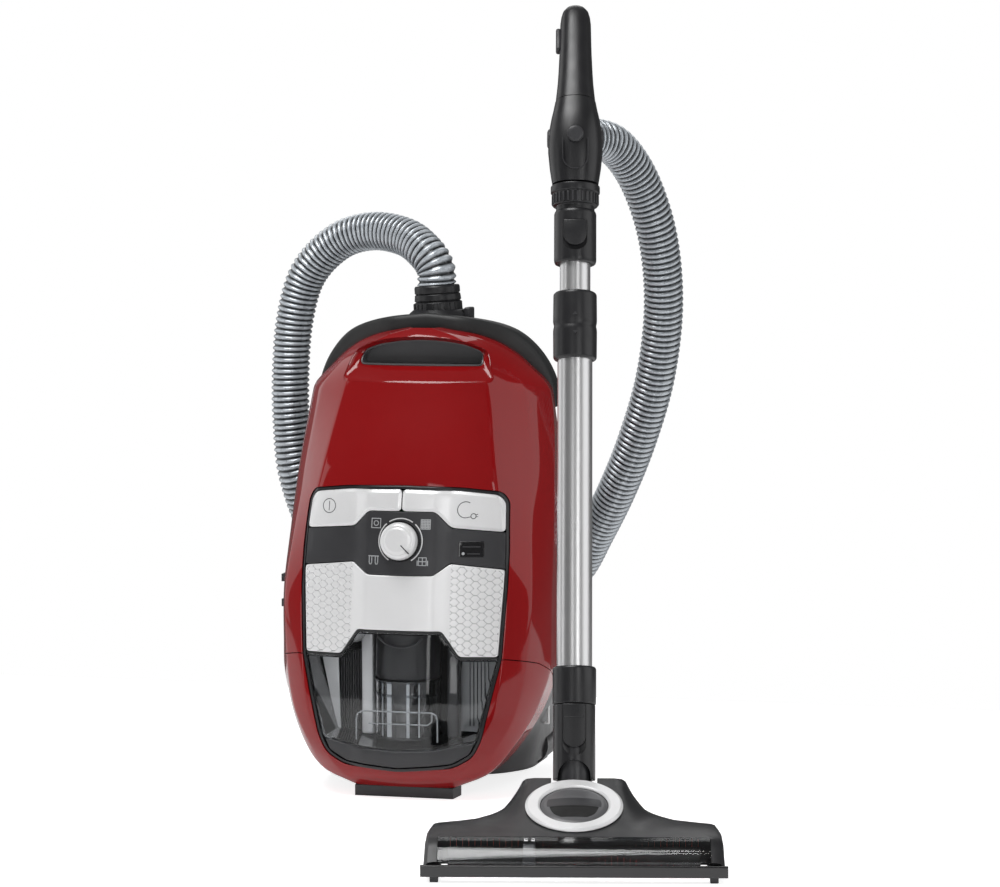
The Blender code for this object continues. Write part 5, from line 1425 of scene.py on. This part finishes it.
def make_handle():
    """Hub with its neck ring, the hose collar, the curved grip, and the controls on them."""
    profile = to_axis([(0.0, 0.6160), (0.0245, 0.6100), (0.0245, 0.6030), (0.0225, 0.6020), (0.0225, 0.5900),
                       (0.0192, 0.5895), (0.0192, 0.5846)], 0.001)
    ring = turned("handle_ring", profile, WAND_FRAME, 80)
    hub = loft("handle_hub_body", [tilted_ring(*row) for row in HUB_SECTIONS], at=WAND_FRAME)
    cuff_at = WAND_FRAME @ placed((0.0, 0.0286, 0.6600), -70, "X")
    profile = soft_profile([(0.0, -0.0150), (0.0200, -0.0150), (0.0200, 0.0075), (0.0, 0.0075)], 0.002)
    boss = turned("cuff_boss", profile, cuff_at, 64)
    finish(joined("handle_hub_shell", [hub, boss]), "upper_wand", "black_plastic", replaces=["handle_hub"])
    finish(ring, "upper_wand", "black_plastic")
    ribs = []
    for k in range(30):
        angle = math.tau * k / 30
        at = WAND_FRAME @ Matrix.Rotation(angle, 4, "Z")
        ribs.append(soft_box("rib", (0.0216, -0.0009, 0.5915), (0.0236, 0.0009, 0.6012), 0.0004, at))
    finish(joined("handle_ring_ribs", ribs), "upper_wand", "dark_grey")
    grip = loft("handle_grip_body", [tilted_ring(*row) for row in GRIP_SECTIONS], at=WAND_FRAME)
    finish(grip, "upper_wand", "black_plastic", replaces=["handle_grip"])
    profile = to_axis([(0.0, 0.0390), (0.0225, 0.0390), (0.0240, 0.0350), (0.0240, 0.0110),
                       (0.0222, 0.0079)], 0.0015)
    finish(turned("hose_collar", profile, cuff_at, 80), "cuff", "black_plastic", replaces=["hose_cuff"])
    profile = to_axis([(0.0, 0.0022), (0.0075, 0.0020), (0.0102, 0.0004), (0.0102, -0.0060)], 0.0008)
    for side, label in ((-1, "left"), (1, "right")):
        at = WAND_FRAME @ placed((side * 0.0262, 0.0035, 0.6600), 90 * side, "Y")
        finish(turned("hub_boss_" + label, profile, at, 40), "upper_wand", "dark_grey")
    profile = to_axis([(0.0, 0.0066), (0.0050, 0.0066), (0.0082, 0.0060), (0.0082, 0.0)], 0.0012)
    button = turned("grip_key", profile, WAND_FRAME @ placed((0.0, -0.0222, 0.6580), 90, "X"), 40)
    finish(button, "grip_key", "dark_grey", replaces=["grip_button"])
    slope = WAND_FRAME @ placed((0, 0.0320, 0.7700), -24, "X") @ Matrix.Translation((0, -0.0320, -0.7700))
    knob = soft_box("suction_knob", (-0.0200, 0.0270, 0.7560), (-0.0145, 0.0370, 0.7840), 0.0022, slope)
    finish(knob, "slider", "dark_grey", replaces=["suction_slider"])
    for side, label in ((-1, "left"), (1, "right")):
        line = []
        for y, z, half_x, half_y, _ in GRIP_SECTIONS[:-4]:
            line.append(Vector((side * half_x * 0.6, y - half_y * 0.72, z)))
        bars = []
        for a, b in zip(line, line[1:]):
            at = WAND_FRAME @ along_line((a + b) / 2, (b - a).normalized())
            half = (b - a).length / 2 + 0.0006
            bars.append(soft_box("seam", (-0.0006, -0.0012, -half), (0.0006, 0.0010, half), 0.0002, at))
        finish(joined("grip_seam_" + label, bars), "upper_wand", "black_rubber")
    panel_bars = u_mark(0.0125, 0.6540, 0.6230, -0.0262)
    finish(joined("hub_panel", panel_bars), "upper_wand", "dark_grey")


# ---------------------------------------------------------------- floor head

# y, hump z and x, foot x and z, wing x and z, side x and z
HEAD_SECTIONS = (
    (0.0046, 0.0205, 0.0477, 0.0600, 0.0205, 0.1350, 0.0200, 0.1400, 0.0105),
    (0.0120, 0.0262, 0.0477, 0.0600, 0.0262, 0.1350, 0.0258, 0.1398, 0.0105),
    (0.0200, 0.0322, 0.0477, 0.0600, 0.0322, 0.1350, 0.0318, 0.1396, 0.0105),
    (0.0280, 0.0385, 0.0477, 0.0600, 0.0385, 0.1350, 0.0380, 0.1395, 0.0105),
    (0.0390, 0.0423, 0.0477, 0.0630, 0.0410, 0.1345, 0.0403, 0.1391, 0.0105),
    (0.0500, 0.0461, 0.0477, 0.0660, 0.0435, 0.1340, 0.0425, 0.1388, 0.0105),
    (0.0620, 0.0505, 0.0477, 0.0700, 0.0450, 0.1328, 0.0428, 0.1377, 0.0105),
    (0.0740, 0.0549, 0.0477, 0.0740, 0.0460, 0.1315, 0.0430, 0.1365, 0.0105),
    (0.0800, 0.0571, 0.0477, 0.0735, 0.0470, 0.1158, 0.0430, 0.1212, 0.0105),
    (0.0860, 0.0593, 0.0477, 0.0730, 0.0480, 0.1000, 0.0430, 0.1060, 0.0105),
    (0.0945, 0.0625, 0.0477, 0.0695, 0.0500, 0.0860, 0.0445, 0.0915, 0.0105),
    (0.1030, 0.0656, 0.0477, 0.0660, 0.0520, 0.0720, 0.0460, 0.0770, 0.0105),
    (0.1165, 0.0705, 0.0477, 0.0610, 0.0560, 0.0655, 0.0480, 0.0690, 0.0105),
    (0.1300, 0.0755, 0.0477, 0.0560, 0.0600, 0.0590, 0.0500, 0.0610, 0.0105),
    (0.1400, 0.0728, 0.0468, 0.0545, 0.0590, 0.0570, 0.0490, 0.0585, 0.0105),
    (0.1500, 0.0700, 0.0460, 0.0530, 0.0580, 0.0550, 0.0480, 0.0560, 0.0105),
    (0.1660, 0.0480, 0.0420, 0.0480, 0.0420, 0.0500, 0.0360, 0.0510, 0.0105))


def head_ring(row):
    """The head shell's section at one y, from side to side over the hump."""
    y, hump_z, hump_x, foot_x, foot_z, wing_x, wing_z, side_x, side_z = row
    half = [(0.0, hump_z), (hump_x, hump_z), (foot_x, foot_z), (wing_x, wing_z),
            (side_x, wing_z - 0.006), (side_x, side_z)]
    fine = relaxed(divided(half, 5), 1)
    return [(-x, y, z) for x, z in fine[:0:-1]] + [(x, y, z) for x, z in fine]


def make_head():
    """Floor head: black shell, clear front window, front strip, sole, silver ring and dome."""
    shell = loft("head_case", [head_ring(row) for row in HEAD_SECTIONS], closed=False, caps=False,
                 at=HEAD_FRAME)
    solidify(shell, 0.0022)
    apply_all(shell)
    window_cut = soft_box("cut", (-0.1272, -0.02, 0.0), (0.1272, 0.0292, 0.06), 0.0005, HEAD_FRAME)
    neck_cut = soft_box("cut", (-0.0222, 0.1180, 0.0), (0.0222, 0.20, 0.10), 0.0005, HEAD_FRAME)
    barrel_cut = soft_box("cut", (-0.0290, 0.1296, 0.0), (0.0290, 0.21, 0.0676), 0.0005, HEAD_FRAME)
    cut(shell, window_cut, neck_cut, barrel_cut)
    finish(shell, "floor_head", "black_plastic", replaces=["head_shell"])
    rings = []
    for share in np.linspace(0.0, 1.0, 12):
        y = 0.0046 + 0.0240 * share
        z = 0.0200 + 0.0184 * share + 0.0030 * math.sin(math.pi * share)
        rings.append([(-0.1267, y, z), (0.1267, y, z), (0.1267, y + 0.0004, z - 0.0022),
                      (-0.1267, y + 0.0004, z - 0.0022)])
    window = loft("head_glass", rings, at=HEAD_FRAME)
    finish(window, "floor_head", "clear_plastic", replaces=["head_window"])
    strip = soft_profile([(0.0, 0.0070), (0.0, 0.0165), (0.0012, 0.0172), (0.0042, 0.0172),
                          (0.0042, 0.0060), (0.0010, 0.0060), (0.0, 0.0070)], 0.0006)
    rings = [[(x, y, z) for y, z in strip] for x in np.linspace(-HEAD_HALF, HEAD_HALF, 50)]
    bar = loft("front_bar", rings, at=HEAD_FRAME)
    finish(bar, "floor_head", "black_gloss", replaces=["front_strip"])
    plan = [(0.1400, 0.0046), (0.1385, 0.0740), (0.0780, 0.1030), (0.0520, 0.1660)]
    sole = prism("head_base", both_halves(plan), 0.0060, 0.0100, "Z", at=HEAD_FRAME)
    mouth = soft_box("mouth", (-0.1250, 0.0150, 0.0), (0.1250, 0.0660, 0.02), 0.0005, HEAD_FRAME)
    cut(sole, mouth)
    feet = [soft_box("foot", (x - 0.004, y - 0.004, 0.0), (x + 0.004, y + 0.004, 0.0080), 0.0008,
                     HEAD_FRAME)
            for x, y in ((-0.1300, 0.0100), (0.1300, 0.0100), (-0.0400, 0.1500), (0.0400, 0.1500))]
    finish(joined("head_floor", [sole] + feet), "floor_head", "dark_grey", replaces=["head_sole"])
    seat = HEAD_FRAME @ Matrix.Translation(RING_SEAT) @ Matrix.Rotation(HUMP_TILT, 4, "X")
    profile = soft_profile([(0.0440, 0.0030), (0.0465, 0.0012), (0.0465, 0.0), (0.0325, 0.0),
                            (0.0325, 0.0016), (0.0345, 0.0030)], 0.0008)
    finish(turned("badge_ring", profile, seat, 120, ring=True), "floor_head", "silver_plastic",
           replaces=["silver_ring"])
    dome = to_axis([(0.0, 0.0042), (0.0160, 0.0036), (0.0280, 0.0020), (0.0320, 0.0006),
                    (0.0320, 0.0)], 0.001)
    finish(turned("badge_dome", dome, seat, 96), "floor_head", "liner_grey",
           replaces=["turbine_dome"])
    # Painted shade and shadow on the dome: a dark grey band across it and a near-black crescent under the
    # band.
    for name, low, high, part, material in (("badge_shade_band", -0.0048, 0.0085, 1.0, "dark_grey"),
                                            ("badge_shadow_crescent", -0.0230, -0.0052, 0.80, "pit_black")):
        rows = []
        for k in range(7):
            y = low + (high - low) * k / 6
            reach = math.sqrt(0.0296 ** 2 - y * y) * part
            rows.append([(x, y, 0.0045 - 0.0034 * (math.hypot(x, y) / 0.031) ** 2.4)
                         for x in np.linspace(-reach, reach, 31)])
        patch = loft(name, rows, closed=False, caps=False, at=seat)
        finish(patch, "floor_head", material)
    walls = [soft_box("wall", (low, 0.0575, 0.0105), (high, 0.0590, 0.0425), 0.0004, HEAD_FRAME)
             for low, high in ((-0.1335, -0.0470), (-0.0370, 0.1335))]
    finish(joined("chamber_wall", walls), "floor_head", "black_plastic")


BRISTLE_LEAN = 15.0          # radians of turn to each metre along the roller
BRISTLE_PHASE = -2.09
BRISTLE_STEP = 0.0058
BRISTLE_FOOT = 0.0092        # the tufts' inner and outer distance from the roller's axis
BRISTLE_TIP = 0.0160


def make_brush():
    """Brush roller: a core with a bearing and two rows of red bristle tufts that wind along it."""
    at = HEAD_FRAME @ placed((0, *BRUSH_AXIS), 90, "Y")
    profile = soft_profile([(0.0060, 0.1180), (0.0100, 0.1180), (0.0100, -0.1180), (0.0060, -0.1180)], 0.001)
    core = turned("brush_core", profile, at, 48, ring=True)
    finish(core, "brush", "pit_black", replaces=["brush_roller"])
    profile = soft_profile([(0.0100, -0.0360), (0.0142, -0.0360), (0.0142, -0.0480), (0.0100, -0.0480)],
                           0.0012)
    finish(turned("brush_bearing", profile, at, 48, ring=True), "brush", "dark_grey")
    for row, phase in ((0, BRISTLE_PHASE), (1, math.pi + BRISTLE_PHASE)):
        tufts = []
        x = -0.1160
        while x < 0.1161:
            if not -0.0500 < x < -0.0340:
                angle = x * BRISTLE_LEAN + phase
                direction = Vector((math.cos(angle), math.sin(angle)))
                for shift in (-0.0022, 0.0022):
                    rings = []
                    for away, fan, radius in ((BRISTLE_FOOT, 1.0, 0.0015), (BRISTLE_TIP, 1.3, 0.0019)):
                        center = Vector((direction.x * away - direction.y * shift * fan,
                                         direction.y * away + direction.x * shift * fan))
                        rings.append([(center.x + radius * math.cos(a), center.y + radius * math.sin(a), x)
                                      for a in [math.tau * j / 8 for j in range(8)]])
                    tufts.append(loft("tuft", rings, at=at))
            x += BRISTLE_STEP
        finish(joined("bristles_%d" % row, tufts), "brush", "bristle_red")


def make_neck():
    """Swivel neck: the tube in the socket and the barrel that the head tilts on."""
    profile = to_axis([(0.0, 0.0800), (0.0170, 0.0800), (0.0170, 0.0)], 0.0012)
    neck = turned("neck_tube", profile, WAND_FRAME, 72)
    profile = soft_profile([(0.0, 0.0280), (0.0140, 0.0280), (0.0140, -0.0280), (0.0, -0.0280)], 0.0015)
    barrel_at = WAND_FRAME @ Matrix.Rotation(math.radians(90), 4, "Y")
    barrel = turned("neck_barrel", profile, barrel_at, 60)
    boolean(neck, barrel, "UNION")
    apply_all(neck)
    bpy.data.objects.remove(barrel)
    finish(neck, "neck_joint", "dark_grey", replaces=["neck"])


# ---------------------------------------------------------------- inside pieces

def colour_inside():
    """The pieces inside the canister keep their CAD shape."""
    looks = {"fan_impeller": "motor_steel", "circuit_board": "board_green",
             "fine_dust_filter": "filter_white", "drive_belt": "black_rubber"}
    for name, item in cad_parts.items():
        look = looks.get(name, "dark_grey")
        item.data.materials.clear()
        item.data.materials.append(MATERIALS[look])


# ---------------------------------------------------------------- lights and floor

def make_lights():
    """Soft boxes at the sides and overhead; the world is white only behind the object."""
    world = bpy.data.worlds.new("world")
    bpy.context.scene.world = world
    world.use_nodes = True
    tree = world.node_tree
    dim = tree.nodes["Background"]
    dim.inputs["Color"].default_value = (1.0, 1.0, 1.0, 1.0)
    dim.inputs["Strength"].default_value = 0.11
    white = tree.nodes.new("ShaderNodeBackground")
    white.inputs["Color"].default_value = (1.0, 1.0, 1.0, 1.0)
    white.inputs["Strength"].default_value = 1.0
    mix = tree.nodes.new("ShaderNodeMixShader")
    path = tree.nodes.new("ShaderNodeLightPath")
    tree.links.new(path.outputs["Is Camera Ray"], mix.inputs["Fac"])
    tree.links.new(dim.outputs["Background"], mix.inputs[1])
    tree.links.new(white.outputs["Background"], mix.inputs[2])
    tree.links.new(mix.outputs["Shader"], tree.nodes["World Output"].inputs["Surface"])
    lamps = (((2.6, -0.1, 1.1), 2.2, 2.4, 1.05),
             ((-2.5, 0.9, 1.1), 2.2, 2.4, 0.85),
             ((1.75, -2.45, 1.0), 0.6, 1.8, 3.0),
             ((-2.6, -1.2, 0.8), 0.6, 1.8, 1.4),
             ((0.10, -3.30, 1.0), 0.45, 1.6, 2.4),
             ((-0.5, -1.1, 3.3), 1.8, 1.6, 8.5),
             ((-0.6, 2.6, 3.0), 2.4, 2.0, 1.6))
    for index, (place, size, size_y, radiance) in enumerate(lamps):
        data = bpy.data.lights.new("softbox_%d" % index, "AREA")
        data.shape = "RECTANGLE"
        data.size = size
        data.size_y = size_y
        data.energy = radiance * math.pi * size * size_y
        item = linked("softbox_%d" % index, data)
        item.location = place
        aim = Vector((0.12, 0.0, 0.35)) - Vector(place)
        item.rotation_euler = aim.to_track_quat("-Z", "Y").to_euler()
    bpy.context.scene.view_settings.view_transform = "Standard"


def make_floor():
    """Plain near-white floor, which glows to the eye but bounces less onto the object."""
    corners = [(-2, -3, 0), (1.6, -3, 0), (1.6, 0.6, 0), (-2, 0.6, 0)]
    floor = make_object("floor_plane", corners, [(0, 1, 2, 3)])
    mat = plain("floor", (0.80, 0.80, 0.805), 0.75)
    tree = mat.node_tree
    shader = shader_of(mat)
    shader.inputs["Emission Color"].default_value = (1.0, 1.0, 1.0, 1.0)
    path = tree.nodes.new("ShaderNodeLightPath")
    tree.links.new(spread(mat, path.outputs["Is Camera Ray"], 0.28, 0.80, 0.0, 1.0),
                   shader.inputs["Emission Strength"])
    roughen(mat, noise(mat, 6.0), 0.70, 0.80)
    floor.data.materials.append(mat)


# ---------------------------------------------------------------- the scene

make_camera()
colour_inside()
make_hose()
make_floor()
make_lights()
make_shells()
make_band()
make_underbody()
make_rear()
make_panel()
make_cover()
make_bowl()
make_opening_wall()
make_connector()
make_lower_wand()
make_upper_wand()
make_handle()
make_head()
make_brush()
make_neck()
